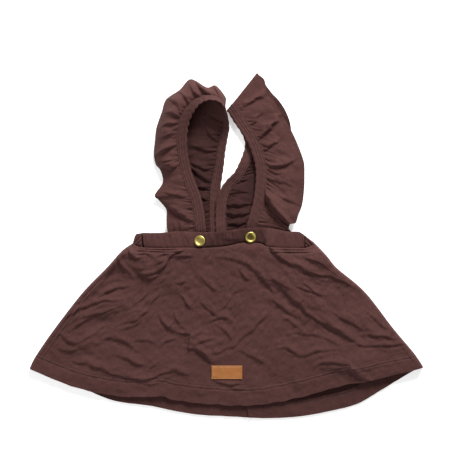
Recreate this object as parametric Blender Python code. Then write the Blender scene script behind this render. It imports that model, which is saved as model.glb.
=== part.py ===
"""Baby's suspender skirt in sweatshirt jersey, laid flat on its back with the front up.

Metres, +Z up. The waist runs along X, the straps point to +Y and the hem to -Y.
The garment lies on z = 0, and its origin is the middle of its box, on that surface.
Tables are in millimetres.
"""
import math

import bmesh
import bpy
from mathutils import Vector

MM = 0.001

# Cloth and seams
JERSEY = 1.4            # one layer of sweatshirt jersey
RUFFLE_CLOTH = 1.2      # the ruffles are cut from a lighter weight
SEAM_GAP = 0.3          # pieces that touch are this far apart
HEM_WIDTH = 21.0        # depth of the hem that is turned up inside

# Waist
BACK_BAND = 3.5         # thickness of the elastic back waistband
FRONT_BAND = 3.0        # thickness of the folded front waistband
BAND_UNDER = 9.2        # height of the front waistband's underside over the strap ends
CROWN_MIDDLE = -2.0     # where the straps' ends raise the front waistband
CROWN_FLAT = 42.0       # it is level this far from there
CROWN_END = 104.0       # and down on the back waistband this far from there
GATHER_PITCH = 9.0      # elastic gathers of the back waistband
GATHER_DEPTH = 0.35
WAIST_SEAM = 0.8        # the front panel starts this far below the waistband's edge
TUCK = 0.6              # and its face is this much lower than the waistband's
BAND_OVERLAP = -2.2     # the back waistband's lower edge, under the front one
FRONT_BAND_END = 97.0   # the right end of the front waistband's lower edge

# Skirt
HEM_RISE = 6.2          # height of the front panel's face along the hem
WAIST_FALL = 45.0       # length over which the front panel comes down from the waistband
SIDE_ROLL = 4.0         # width of the roll where the front panel turns down at the sides
BACK_INSET = 3.6        # the back panels lie this far inside the rolled sides
FRONT_LENGTH = 172.0    # waist to hem, halfway between the middle and the sides
BACK_LENGTH = 190.0
STEP_SHARE = 0.006      # share of a panel's length over which its doubled hem gets thicker
FOLDS_START = 6.0       # the folds begin this far below the waist
FOLDS_FULL = 30.0       # and have their whole height from here down
FOLD_END = 0.12         # how far along its arch a fold's height starts and ends

# Straps and ruffles
STRAP_WIDTH = 14.0
STRAP_CLOTH = 2.4       # a strap is a folded band
ROUNDED = 0.55          # a folded band's edge is this share of its thickness
STRAP_STEP = 5.5        # length of strap between two of its cross sections
TURN_SLOPE = 0.6        # a strap that climbs more than this is turning over
TURN_STEPS = 3          # cross sections between two rows of its table there
PLEAT_PITCH = 8.0       # gathers along the seam between strap and ruffle
PLEAT_DEPTH = 0.7
PLEAT_REACH = 0.35      # share of the ruffle's width over which the gathers fade

# Snaps and patch
SNAP_RADIUS = 7.0
SNAPS = {"left": (-33.0, 6.5), "right": (30.0, 11.0)}
PATCH_CENTRE = (0.5, -157.0)
PATCH_SIZE = (38.4, 16.8)
PATCH_LEATHER = 1.4
PATCH_CALM = 30.0       # the cloth has no folds this near the patch

# Outlines seen from above: x, y
BACK_BAND_TOP = [(-116, 5), (-115, 10), (-112.5, 15), (-105, 16.2), (94, 16.2), (101, 10.5), (106, 6.8),
                 (109.5, 4.2)]
WAIST_TOP = [(-105, 16.5), (-83, 16.5), (-62, 18.5), (-40.5, 18), (-24.5, 17.5), (-2, 19),
             (23, 22.5), (38, 23), (54.5, 22.5), (69.5, 19.5), (80.5, 18), (95.5, 17)]
WAIST_BOTTOM = [(-116.5, 3.5), (-111, -0.5), (-102, -2), (-77, -2.5), (-52, -2), (-27, -2.5), (-2, -0.5),
                (17, 3.5), (29.5, 4), (42, 3), (49.5, -0.5), (60.5, -2), (79.5, -2.5), (97, -2.5),
                (104.5, 0), (110.5, 3)]
SIDE_LEFT = [(-116.5, 3.5), (-130.5, -6), (-149.5, -27), (-179.5, -58), (-214.5, -103), (-238, -137),
             (-245.5, -152)]
SIDE_RIGHT = [(110.5, 3), (125.5, -12.5), (138, -27.5), (173, -57.5), (208, -102.5), (234, -133.5),
              (245.5, -150.5)]
HEM_FRONT = [(-245.5, -152), (-218, -164.5), (-191, -174.5), (-160.5, -182.5), (-130, -187), (-83, -187),
             (-67, -191), (-28, -196), (17, -198), (54.5, -196), (100.5, -185.5), (147, -173), (177, -168),
             (205.5, -160.5), (227, -155.5), (245.5, -150.5)]
HEM_BACK_LEFT = [(-241.9, -154), (-215.5, -166), (-185.5, -176), (-155.5, -189), (-133, -195.5),
                 (-95.5, -200), (-65.5, -206), (-35.5, -210.5), (-5.5, -212), (27.2, -213.5)]
HEM_BACK_RIGHT = [(27.8, -215), (54.5, -216), (92, -214), (129.5, -207.5), (163, -199), (189.5, -184),
                  (219.5, -166), (241.9, -153)]
SEAM_BACK = [(0, -3.5), (14, -108), (27.5, -214)]

# Largest folds of the front panel: start, middle and end seen from above, height, half width
FOLDS = [
    ((-190, -82), (-153, -63), (-126, -61), 3.6, 9),
    ((-56, -10), (-78, -28), (-111, -40), 3.4, 8),
    ((47, 0), (90, -21), (154, -42), 4.2, 9),
    ((80, -60), (128, -94), (163, -112), 4.0, 9),
    ((-84, -82), (-68, -98), (-42, -106), 3.0, 8),
    ((-47, -122), (-22, -136), (12, -170), 2.6, 8),
    ((-196, -138), (-145, -151), (-92, -158), 3.2, 9),
    ((6, -122), (30, -99), (54, -76), 2.6, 8),
    ((62, -121), (93, -132), (136, -123), 3.0, 8),
    ((110, -142), (150, -140), (178, -160), 2.6, 8),
    ((-206, -106), (-184, -113), (-145, -89), 2.8, 8),
    ((-128, -91), (-97, -73), (-76, -46), 2.6, 8),
    ((-136, -110), (-108, -126), (-82, -132), 2.2, 8),
]

# A strap from the front waist over the shoulder to the back waist, and the free edge of its ruffle.
# side: direction of the strap's ruffled edge seen from above, dip: how far that edge points down (degrees)
# x, y, z, side, dip, edge_x, edge_y, edge_z, bulge
STRAP_LEFT = [
    (-32.0, -1.0, 5.0, 180, 0, -69.5, 4.0, 4.5, 0),
    (-32.0, 12.0, 5.0, 180, 0, -72.0, 13.0, 4.5, 0),
    (-32.5, 20.0, 7.2, 180, 0, -74.0, 21.0, 4.4, 0),
    (-33.5, 31.0, 8.0, 182, 0, -74.5, 33.5, 3.4, 1),
    (-35.0, 43.0, 8.2, 186, 0, -75.0, 46.0, 2.6, 2),
    (-38.0, 58.0, 9.0, 195, 0, -84.0, 57.5, 6.0, 2),
    (-42.5, 70.0, 9.5, 201, 0, -89.0, 63.5, 6.5, 2),
    (-47.0, 82.0, 10.0, 200, 0, -79.0, 79.0, 4.0, 4),
    (-50.5, 92.5, 10.5, 193, 0, -82.0, 94.5, 2.0, 4),
    (-53.5, 106.0, 12.0, 186, 0, -88.0, 102.5, 4.5, 7),
    (-55.5, 121.0, 14.0, 181, 0, -90.0, 116.0, 3.0, 9),
    (-55.5, 136.0, 16.5, 178, 4, -88.5, 132.5, 2.5, 10),
    (-53.5, 150.0, 19.5, 168, 10, -86.5, 149.0, 2.5, 10),
    (-49.0, 162.0, 22.5, 155, 20, -80.0, 167.5, 2.5, 10),
    (-42.0, 172.0, 25.0, 140, 32, -75.0, 182.5, 2.5, 9),
    (-34.0, 179.0, 26.5, 122, 43, -58.0, 194.5, 3.0, 8),
    (-24.5, 182.5, 27.0, 105, 50, -44.5, 207.5, 4.0, 7),
    (-15.5, 182.0, 26.5, 85, 58, -25.0, 197.0, 4.6, 5),
    (-7.5, 178.5, 25.0, 60, 70, -13.0, 199.0, 6.5, 3),
    (-2.5, 171.5, 22.5, 15, 84, -1.0, 182.0, 4.4, 0.5),
    (-0.8, 163.5, 18.5, 180, 82, -24.0, 191.0, 1.4, 0),
    (-0.4, 155.0, 13.5, 180, 66, -45.0, 175.0, 1.3, 0),
    (-1.0, 145.0, 9.6, 182, 52, -54.0, 157.0, 1.3, 0.8),
    (-4.0, 132.5, 6.6, 184, 43, -57.5, 137.5, 1.3, 2),
    (-7.0, 117.5, 6.0, 184, 38, -58.5, 119.0, 1.3, 2),
    (-9.0, 101.0, 5.8, 184, 35, -57.5, 101.0, 1.3, 2),
    (-12.0, 85.0, 4.4, 186, 22, -56.5, 83.0, 1.3, 2),
    (-14.5, 70.0, 3.0, 184, 9, -55.0, 66.0, 1.3, 2),
    (-15.0, 54.0, 2.2, 180, 2, -54.0, 50.0, 1.3, 1.5),
    (-15.0, 36.0, 2.0, 180, 0, -53.0, 35.0, 1.3, 1),
    (-14.5, 25.0, 3.4, 180, 0, -52.0, 24.0, 1.1, 0.2),
    (-14.5, 17.5, 4.8, 180, 0, -52.0, 17.3, 1.1, 0),
    (-14.5, 11.0, 5.0, 180, 0, -52.0, 11.0, 1.1, 0),
    (-14.5, 4.0, 5.0, 180, 0, -52.0, 4.0, 1.1, 0),
]
STRAP_RIGHT = [
    (30.0, 3.0, 5.0, 0, 0, 75.0, 4.0, 4.5, 0),
    (30.5, 16.5, 5.0, 0, 0, 79.0, 13.0, 4.5, 0),
    (31.5, 24.0, 6.2, -4, 0, 80.5, 17.5, 4.5, 0),
    (34.0, 32.0, 7.0, -9, 0, 79.0, 20.0, 4.8, 1),
    (36.5, 40.5, 7.4, -13, 0, 77.5, 22.0, 5.4, 1.5),
    (39.5, 51.0, 7.8, -12, 0, 78.0, 24.5, 3.6, 0),
    (41.0, 59.0, 8.2, -9, 0, 79.5, 27.5, 7.2, 1.5),
    (42.0, 66.0, 8.3, -7, 0, 86.0, 29.0, 6.8, 1.5),
    (42.8, 73.5, 8.4, -4, 0, 89.0, 38.5, 6.4, 2),
    (43.5, 82.5, 8.4, -1, 0, 94.0, 51.0, 5.2, 2.5),
    (43.5, 94.0, 8.4, 4, 0, 96.5, 70.0, 4.8, 3),
    (42.0, 105.0, 8.4, 12, 0, 97.0, 87.5, 4.8, 3),
    (39.0, 116.0, 8.2, 19, 0, 96.5, 103.0, 5.0, 3),
    (35.0, 127.0, 8.0, 25, 0, 92.0, 117.5, 5.2, 2.5),
    (29.5, 137.5, 7.6, 30, 0, 86.0, 132.5, 5.4, 2),
    (23.0, 147.5, 7.2, 34, 0, 79.0, 146.5, 5.4, 2),
    (16.5, 157.0, 6.8, 38, 0, 69.0, 163.5, 5.6, 1.5),
    (11.5, 165.0, 6.3, 46, 0, 59.5, 179.5, 5.6, 1),
    (8.5, 169.0, 6.0, 50, 0, 50.0, 189.5, 5.6, 0.5),
    (7.9, 170.1, 5.9, 51, 0, 49.0, 198.5, 5.6, 0.2),
    (7.3, 171.1, 5.8, 51, 0, 46.8, 207.5, 5.5, 0),
    (7.0, 171.5, 5.6, 51, 0, 40.5, 213.0, 5.2, 0),
    (5.0, 173.6, 3.6, 51, 0, 38.5, 215.5, 3.3, 0),
    (7.0, 171.5, 1.5, 51, 0, 40.5, 213.0, 1.4, 0),
    (14.5, 159.5, 1.4, 40, 0, 55.0, 193.0, 1.4, 0),
    (22.5, 148.0, 1.4, 33, 0, 67.0, 179.5, 1.4, 0),
    (28.5, 136.0, 1.4, 20, 0, 75.5, 165.0, 1.4, 0),
    (30.0, 124.0, 1.6, 2, 0, 80.5, 147.5, 1.4, 0),
    (26.5, 111.0, 3.0, -14, 12, 79.5, 127.5, 1.3, 0),
    (21.0, 99.0, 4.8, -30, 25, 72.0, 107.5, 1.3, 0),
    (14.5, 87.5, 5.4, -40, 30, 60.5, 90.0, 1.3, 1),
    (6.0, 79.0, 6.2, -42, 30, 49.5, 75.0, 1.3, 1.5),
    (-0.5, 70.0, 7.0, -40, 26, 41.0, 62.5, 1.3, 1.5),
    (-4.5, 60.0, 6.8, -22, 14, 37.0, 51.0, 1.3, 1.5),
    (-6.0, 50.0, 6.0, -6, 4, 35.5, 40.0, 1.3, 1.5),
    (-6.5, 37.5, 5.6, 0, 0, 35.5, 31.0, 1.3, 1),
    (-6.5, 25.0, 6.4, 0, 0, 35.5, 24.0, 1.1, 0.2),
    (-6.5, 17.5, 7.5, 0, 0, 35.5, 17.3, 1.1, 0),
    (-6.5, 11.0, 7.7, 0, 0, 35.5, 11.0, 1.1, 0),
    (-6.5, 4.0, 7.7, 0, 0, 35.5, 4.0, 1.1, 0),
]
RUFFLE_ENDS_BEFORE = 2      # the last rows are the strap's end alone, on the back waistband

JERSEY_BROWN = (0.095, 0.046, 0.041)
LEATHER_TAN = (0.30, 0.12, 0.04)
SNAP_GOLD = (0.62, 0.45, 0.16)


def read_curve(rows, t):
    """Point at t, from 0 to 1, of a smooth curve through the rows of a table."""
    place = min(max(t, 0.0), 1.0) * (len(rows) - 1)
    k = min(int(place), len(rows) - 2)
    f = place - k
    before, here, there = rows[max(k - 1, 0)], rows[k], rows[k + 1]
    after = rows[min(k + 2, len(rows) - 1)]
    bends = [(b, (c - a) / 2, (2 * a - 5 * b + 4 * c - d) / 2, (3 * b - a - 3 * c + d) / 2)
             for a, b, c, d in zip(before, here, there, after)]
    return [start + slope * f + bend * f ** 2 + twist * f ** 3 for start, slope, bend, twist in bends]


def even_curve(rows, samples=200):
    """Function from 0 to 1 that runs along a table's curve at an even speed."""
    points = [Vector(read_curve(rows, i / samples)) for i in range(samples + 1)]
    run = [0.0]
    for a, b in zip(points, points[1:]):
        run.append(run[-1] + (b - a).length)

    def at(t):
        goal = min(max(t, 0.0), 1.0) * run[-1]
        i = next((i for i in range(samples) if run[i + 1] >= goal), samples - 1)
        return points[i].lerp(points[i + 1], (goal - run[i]) / max(run[i + 1] - run[i], 1e-9))
    return at


def material(name, colour, roughness, metallic=0.0):
    made = bpy.data.materials.get(name)
    if made is None:
        made = bpy.data.materials.new(name)
        made.use_nodes = True
        shader = made.node_tree.nodes["Principled BSDF"]
        shader.inputs["Base Color"].default_value = (*colour, 1.0)
        shader.inputs["Roughness"].default_value = roughness
        shader.inputs["Metallic"].default_value = metallic
    return made


def add_part(name, mesh_data, finish, smooth=True):
    """Turn a bmesh in millimetres into a named part of the garment."""
    bmesh.ops.scale(mesh_data, vec=(MM, MM, MM), verts=mesh_data.verts)
    bmesh.ops.recalc_face_normals(mesh_data, faces=mesh_data.faces)
    mesh = bpy.data.meshes.new(name)
    mesh_data.to_mesh(mesh)
    mesh_data.free()
    if smooth:
        mesh.shade_smooth()
        mesh.set_sharp_from_angle(angle=math.radians(50))
    mesh.materials.append(material(*finish))
    part = bpy.data.objects.new(name, mesh)
    garment.objects.link(part)
    return part


def cloth_wall(name, finish, columns, rows, face, back):
    """Cloth with two skins: a grid laid on face(u, v) and a copy of it on back(u, v).

    columns and rows list the values of u and v, from 0 to 1, where the grid has its lines.
    """
    wall = bmesh.new()
    bmesh.ops.create_grid(wall, x_segments=len(columns) - 1, y_segments=len(rows) - 1, size=0.5)
    spots = {}
    for vert in wall.verts:
        column = round((vert.co.x + 0.5) * (len(columns) - 1))
        row = round((vert.co.y + 0.5) * (len(rows) - 1))
        spots[vert] = (columns[column], rows[row])
    under = list(wall.verts)
    raised = bmesh.ops.extrude_face_region(wall, geom=wall.faces[:])["geom"]
    over = [item for item in raised if isinstance(item, bmesh.types.BMVert)]
    by_place = {tuple(vert.co): spots[vert] for vert in under}
    for vert in over:
        vert.co = Vector(face(*by_place[tuple(vert.co)]))
    for vert in under:
        vert.co = Vector(back(*spots[vert]))
    return add_part(name, wall, finish)


def even(count, start=0.0, end=1.0):
    return [start + (end - start) * i / count for i in range(count + 1)]


def smooth_step(value, low, high):
    f = min(max((value - low) / (high - low), 0.0), 1.0)
    return f * f * (3 - 2 * f)


def coons(top, bottom, left, right, u, v):
    """Point of the patch between four edge curves; v runs from top to bottom."""
    across = top(u).lerp(bottom(u), v)
    down = left(v).lerp(right(v), u)
    corners = top(0).lerp(top(1), u).lerp(bottom(0).lerp(bottom(1), u), v)
    return across + down - corners


# Front skirt panel

def waist_height(x):
    """Height of the front waistband's face above the surface, across the waist."""
    crown = BAND_UNDER + FRONT_BAND
    side = BACK_BAND + SEAM_GAP + FRONT_BAND
    return side + (crown - side) * (1 - smooth_step(abs(x - CROWN_MIDDLE), CROWN_FLAT, CROWN_END))


def fold_rise(x, y):
    """Height that the largest folds add to the front panel at x, y."""
    rise = 0.0
    here = Vector((x, y))
    for start, middle, end, height, half_width in FOLDS:
        legs = ((Vector(start), Vector(middle), 0.0), (Vector(middle), Vector(end), 0.5))
        nearest, place = 1e9, 0.0
        for a, b, offset in legs:
            f = min(max((here - a).dot(b - a) / (b - a).length_squared, 0.0), 1.0)
            gap = (here - a.lerp(b, f)).length
            if gap < nearest:
                nearest, place = gap, offset + f / 2
        taper = math.sin(math.pi * (FOLD_END + (1 - 2 * FOLD_END) * place)) ** 0.7
        rise = max(rise, height * taper * math.exp(-(nearest / half_width) ** 2))
    calm = (here - Vector(PATCH_CENTRE)).length / PATCH_CALM
    return rise * (1 - math.exp(-calm ** 4))


def front_height(x, y):
    fall = math.exp(min(y, 0.0) / WAIST_FALL)
    height = HEM_RISE + (waist_height(x) - TUCK - HEM_RISE) * fall
    return height + fold_rise(x, y) * smooth_step(-y, FOLDS_START, FOLDS_FULL)


def build_skirt_front():
    waist = [(x, y - WAIST_SEAM) for x, y in WAIST_BOTTOM]
    top, hem = even_curve(waist), even_curve(HEM_FRONT)
    left = even_curve([waist[0]] + SIDE_LEFT[1:])
    right = even_curve([waist[-1]] + SIDE_RIGHT[1:])
    turned_up = 1 - HEM_WIDTH / FRONT_LENGTH
    rows = even(18, 0.0, turned_up - STEP_SHARE) + [turned_up, (1 + turned_up) / 2, 1.0]
    turn = [0.0, 1 / 3, 2 / 3]
    columns = [q - 1 for q in turn] + even(46) + [2 - q for q in reversed(turn)]

    def place(u, v, depth):
        """u below 0 or above 1 is on the roll at the sides; depth is the distance under the face."""
        inside = min(max(u, 0.0), 1.0)
        edge = coons(top, hem, left, right, 0.0 if u < 0.5 else 1.0, v)
        span = coons(top, hem, left, right, 1.0, v) - coons(top, hem, left, right, 0.0, v)
        roll = SIDE_ROLL / span.length
        spot = coons(top, hem, left, right, roll + (1 - 2 * roll) * inside, v)
        height = front_height(spot.x, spot.y)
        if u == inside and 0 < u < 1:
            return (spot.x, spot.y, height - depth)
        swing = math.radians(90) * (1 + u if u < 0.5 else 2 - u)
        reach = spot - edge
        across = (SIDE_ROLL - (SIDE_ROLL - depth) * math.cos(swing)) / SIDE_ROLL
        return (edge.x + reach.x * across, edge.y + reach.y * across, (height - depth) * math.sin(swing))

    def back(u, v):
        doubled = v >= turned_up and 0 < u < 1
        return place(u, v, JERSEY * 2 if doubled else JERSEY)

    cloth_wall("skirt_front", ("brushed_jersey", JERSEY_BROWN, 0.9), columns, rows,
               lambda u, v: place(u, v, 0.0), back)


# Back skirt panels

def build_skirt_back(name, waist, hem_table, side_table, seam_side):
    side = even_curve(side_table)
    seam = even_curve([(x + seam_side * SEAM_GAP / 2, y) for x, y in SEAM_BACK])
    top, hem = even_curve(waist), even_curve(hem_table)
    left, right = (side, seam) if seam_side < 0 else (seam, side)
    turned_up = 1 - HEM_WIDTH / BACK_LENGTH
    rows = even(7, 0.0, turned_up - STEP_SHARE) + [turned_up, 1.0]

    def back(u, v):
        spot = coons(top, hem, left, right, u, v)
        return (spot.x, spot.y, 0.0)

    def face(u, v):
        spot = coons(top, hem, left, right, u, v)
        return (spot.x, spot.y, JERSEY * (2 if v >= turned_up else 1))

    cloth_wall(name, ("brushed_jersey", JERSEY_BROWN, 0.9), even(14), rows, face, back)


# Waistbands

def build_waistband_front():
    top = even_curve(WAIST_TOP)
    bottom = even_curve([row for row in WAIST_BOTTOM if WAIST_TOP[0][0] <= row[0] <= FRONT_BAND_END])
    rows = [0.0, 0.12, 0.5, 0.88, 1.0]

    def spot(u, v, share):
        place = top(u).lerp(bottom(u), v)
        edge = ROUNDED if v in (0.0, 1.0) else 1.0
        middle = waist_height(place.x) - FRONT_BAND / 2
        return (place.x, place.y, middle + share * edge * FRONT_BAND / 2)

    cloth_wall("waistband_front", ("brushed_jersey", JERSEY_BROWN, 0.9), even(26), rows,
               lambda u, v: spot(u, v, 1), lambda u, v: spot(u, v, -1))


def build_waistband_back():
    """Elastic back waistband; its ends wrap round the sides, up to the front waistband's ends."""
    left_end, right_end = BACK_BAND_TOP[0][0], BACK_BAND_TOP[-1][0]
    front_left, front_right = WAIST_TOP[0][0] - SEAM_GAP, FRONT_BAND_END + SEAM_GAP
    steps = int((right_end - left_end) / (GATHER_PITCH / 3))
    rolled = waist_height(front_left) - TUCK

    def line_at(table, x):
        before, after = next(pair for pair in zip(table, table[1:]) if x <= pair[1][0] + 1e-6)
        return before[1] + (after[1] - before[1]) * (x - before[0]) / (after[0] - before[0])

    def spot(u, v, lift):
        x = left_end + (right_end - left_end) * u
        past = max(front_left - x, x - front_right)
        bottom = BAND_OVERLAP if past < 0 else line_at(WAIST_BOTTOM, x)
        y = line_at(BACK_BAND_TOP, x) * (1 - v) + bottom * v
        gather = GATHER_DEPTH * (math.cos(2 * math.pi * x / GATHER_PITCH) - 1)
        height = BACK_BAND + gather + (rolled - BACK_BAND) * smooth_step(past, 0.0, 2.0)
        edge = ROUNDED if v in (0.0, 1.0) else 1.0
        return (x, y, height * edge * lift)

    cloth_wall("waistband_back", ("brushed_jersey", JERSEY_BROWN, 0.9), even(steps), [0.0, 0.15, 0.85, 1.0],
               lambda u, v: spot(u, v, 1), lambda u, v: spot(u, v, 0))


# Straps and ruffles

def strap_frame(rows, hand, t):
    """Middle of the strap, its side vector, its outward face, the ruffle's free edge and its bulge."""
    def side(row):
        turn, dip = math.radians(row[3]), math.radians(row[4])
        return (math.cos(turn) * math.cos(dip), math.sin(turn) * math.cos(dip), -math.sin(dip))

    table = [(*row[:3], *side(row), *row[5:]) for row in rows]
    values = read_curve(table, t)
    step = 0.02 / (len(rows) - 1)
    ahead, behind = read_curve(table, t + step), read_curve(table, t - step)
    along = Vector(ahead[:3]) - Vector(behind[:3])
    towards = Vector(values[3:6]).normalized()
    outward = hand * along.cross(towards).normalized()
    return Vector(values[:3]), towards, outward, Vector(values[6:9]), values[9]


def strap_stations(rows, pitch, last):
    """Places along a strap's table at about an even pitch, closer where it folds over."""
    places = []
    for k in range(last):
        here, there = Vector(rows[k][:3]), Vector(rows[k + 1][:3])
        turning = abs(there.z - here.z) > TURN_SLOPE * (there - here).length
        steps = TURN_STEPS if turning else max(1, round((there - here).length / pitch))
        places += [(k + i / steps) / (len(rows) - 1) for i in range(steps)]
    return places + [last / (len(rows) - 1)]


def build_strap(name, rows, hand):
    def skin(u, v, share):
        middle, towards, outward, _, _ = strap_frame(rows, hand, u)
        edge = ROUNDED if v in (0.0, 1.0) else 1.0
        across = (v - 0.5) * STRAP_WIDTH
        return middle + towards * across + outward * (share * edge * STRAP_CLOTH / 2)

    cloth_wall(name, ("brushed_jersey", JERSEY_BROWN, 0.9), strap_stations(rows, STRAP_STEP, len(rows) - 1),
               [0.0, 0.1, 0.9, 1.0], lambda u, v: skin(u, v, 1), lambda u, v: skin(u, v, -1))


def build_ruffle(name, rows, hand):
    stations = strap_stations(rows, PLEAT_PITCH / 3, len(rows) - 1 - RUFFLE_ENDS_BEFORE)
    run, last = {stations[0]: 0.0}, strap_frame(rows, hand, stations[0])[0]
    for before, here in zip(stations, stations[1:]):
        middle = strap_frame(rows, hand, here)[0]
        run[here] = run[before] + (middle - last).length
        last = middle

    def sheet(u, v):
        middle, towards, _, edge, bulge = strap_frame(rows, hand, u)
        spot = (middle + towards * (STRAP_WIDTH / 2 + SEAM_GAP)).lerp(edge, v)
        spot.z += bulge * 4 * v * (1 - v)
        return spot

    def skin(u, v, share):
        step = 0.15 / (len(rows) - 1)
        along = sheet(u + step, v) - sheet(max(u - step, 0.0), v)
        across = sheet(u, v + 0.02) - sheet(u, v - 0.02)
        outward = strap_frame(rows, hand, u)[2]
        normal = outward.lerp(hand * along.cross(across).normalized(), smooth_step(v, 0.0, 0.1)).normalized()
        fade = math.exp(-v / PLEAT_REACH) * smooth_step(v, 0.0, 0.08)
        pleat = PLEAT_DEPTH * fade * math.cos(2 * math.pi * run[u] / PLEAT_PITCH)
        spot = sheet(u, v) + normal * (pleat + share * RUFFLE_CLOTH / 2)
        spot.z = max(spot.z, 0.0)
        return spot

    cloth_wall(name, ("brushed_jersey", JERSEY_BROWN, 0.9), stations, [0.0, 0.12, 0.3, 0.6, 1.0],
               lambda u, v: skin(u, v, 1), lambda u, v: skin(u, v, -1))


# Snaps and patch

def turned(name, profile, x, y, z, finish):
    """A round metal piece, turned from a profile of radius and height."""
    disc = bmesh.new()
    verts = [disc.verts.new((radius, 0, height)) for radius, height in profile]
    edges = [disc.edges.new(pair) for pair in zip(verts, verts[1:])]
    bmesh.ops.spin(disc, geom=verts + edges, cent=(0, 0, 0), axis=(0, 0, 1), angle=math.tau, steps=20,
                   use_merge=True)
    bmesh.ops.remove_doubles(disc, verts=disc.verts, dist=0.001)
    bmesh.ops.translate(disc, vec=(x, y, z), verts=disc.verts)
    add_part(name, disc, finish)


def build_snaps():
    gold = ("gold_metal", SNAP_GOLD, 0.3, 1.0)
    cap = [(0, 0.9), (3.0, 1.0), (4.4, 1.9), (5.8, 2.1), (6.8, 1.5), (SNAP_RADIUS, 0.5), (6.6, 0), (0, 0)]
    stud = [(0, 2.4), (3.0, 2.4), (5.0, 1.6), (5.0, 0), (0, 0)]
    for side, (x, y) in SNAPS.items():
        turned("snap_cap_" + side, cap, x, y, waist_height(x) + SEAM_GAP, gold)
        turned("snap_stud_" + side, stud, x, y, BAND_UNDER - SEAM_GAP - 2.4, gold)


def build_patch():
    def spot(u, v, height):
        x = PATCH_CENTRE[0] + (u - 0.5) * PATCH_SIZE[0]
        y = PATCH_CENTRE[1] + (0.5 - v) * PATCH_SIZE[1]
        return (x, y, front_height(x, y) + height)

    cloth_wall("label_patch", ("leather", LEATHER_TAN, 0.6), even(4), even(2),
               lambda u, v: spot(u, v, SEAM_GAP + PATCH_LEATHER), lambda u, v: spot(u, v, SEAM_GAP))


for old in list(bpy.data.objects):
    bpy.data.objects.remove(old, do_unlink=True)
garment = bpy.data.collections.new("suspender_skirt")
bpy.context.scene.collection.children.link(garment)

build_skirt_front()
side_left = [(x + BACK_INSET, y) for x, y in SIDE_LEFT[1:]]
side_right = [(x - BACK_INSET, y) for x, y in SIDE_RIGHT[1:]]
build_skirt_back("skirt_back_left", [side_left[0], (-100, -4), (0, -3.5)], HEM_BACK_LEFT, side_left, -1)
build_skirt_back("skirt_back_right", [(0, -3.5), (96, -4), side_right[0]], HEM_BACK_RIGHT, side_right, 1)
build_waistband_front()
build_waistband_back()
build_strap("strap_left", STRAP_LEFT, 1)
build_strap("strap_right", STRAP_RIGHT, -1)
build_ruffle("ruffle_left", STRAP_LEFT, 1)
build_ruffle("ruffle_right", STRAP_RIGHT, -1)
build_snaps()
build_patch()
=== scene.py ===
"""A baby's suspender skirt in brown sweatshirt jersey, laid flat with its front up.

The sections follow the order in which the garment is sewn. Tables are in millimetres, in the frame's axes.
"""
import math

import bmesh
import bpy
import numpy as np
from mathutils import Matrix, Vector


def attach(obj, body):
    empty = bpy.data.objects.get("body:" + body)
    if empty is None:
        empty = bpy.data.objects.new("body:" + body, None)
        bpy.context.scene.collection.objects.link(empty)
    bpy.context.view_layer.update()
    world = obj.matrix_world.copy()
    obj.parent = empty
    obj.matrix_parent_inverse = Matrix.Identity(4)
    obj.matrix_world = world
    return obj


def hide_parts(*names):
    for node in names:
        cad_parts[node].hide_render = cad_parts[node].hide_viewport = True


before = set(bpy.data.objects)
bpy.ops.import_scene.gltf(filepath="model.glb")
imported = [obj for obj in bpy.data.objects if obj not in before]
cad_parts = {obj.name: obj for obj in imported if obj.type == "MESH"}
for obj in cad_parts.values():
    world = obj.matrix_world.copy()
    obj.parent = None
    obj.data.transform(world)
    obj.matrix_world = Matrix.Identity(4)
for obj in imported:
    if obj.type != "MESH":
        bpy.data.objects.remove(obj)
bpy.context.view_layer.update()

# Camera. A long lens looks straight down from above the middle of the picture, so that
# the garment is seen as in a photograph taken from a copy stand.
VIEW_WIDTH = 0.575
LENS, SENSOR = 85.0, 36.0
VIEW_CENTRE = (0.0044, 0.020)


def new_object(name, data):
    made = bpy.data.objects.new(name, data)
    bpy.context.collection.objects.link(made)
    return made


camera_data = bpy.data.cameras.new("copy_stand_camera")
camera_data.lens = LENS
camera_data.sensor_width = SENSOR
camera = new_object("copy_stand_camera", camera_data)
camera.location = (*VIEW_CENTRE, VIEW_WIDTH * LENS / SENSOR)
bpy.context.scene.camera = camera

# Board and light. The garment lies on matt white board, lit a little from below so that it hardly takes a
# shadow. A softbox beyond the top of the picture rakes across the cloth and models its folds, a weaker one
# fills from the other side, and the room is pale.
WHITE_BOARD = "FFFFFF"
BOARD_GLOW = 0.45
BOARD_DEPTH = 0.0002  # the board lies this far under the garment, so that no faces meet
ROOM_LIGHT = 0.24


def colour(code):
    """Linear RGBA of an sRGB hex colour."""
    parts = [int(code[i:i + 2], 16) / 255 for i in (0, 2, 4)]
    return (*(c / 12.92 if c <= 0.04045 else ((c + 0.055) / 1.055) ** 2.4 for c in parts), 1.0)


def new_material(name, sockets):
    """A Principled material with these sockets set, then its node tree and its shader."""
    made = bpy.data.materials.new(name)
    made.use_nodes = True
    shader = made.node_tree.nodes["Principled BSDF"]
    for socket, value in sockets.items():
        shader.inputs[socket].default_value = value
    return made, made.node_tree, shader


def add_node(tree, kind, values=None, links=None):
    """Adds a shader node, sets its settings and sockets, and links its sockets to what feeds them."""
    made = tree.nodes.new("ShaderNode" + kind)
    for key, value in (values or {}).items():
        if isinstance(key, int) or key in made.inputs:
            made.inputs[key].default_value = value
        else:
            setattr(made, key, value)
    for key, source in (links or {}).items():
        tree.links.new(source, made.inputs[key])
    return made


def softbox(name, place, size, power):
    """A square lamp that faces the middle of the garment."""
    lamp = bpy.data.lights.new(name, "AREA")
    lamp.size = size
    lamp.energy = power
    box = new_object(name, lamp)
    box.location = place
    box.rotation_euler = (-Vector(place)).to_track_quat("-Z", "Y").to_euler()


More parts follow.
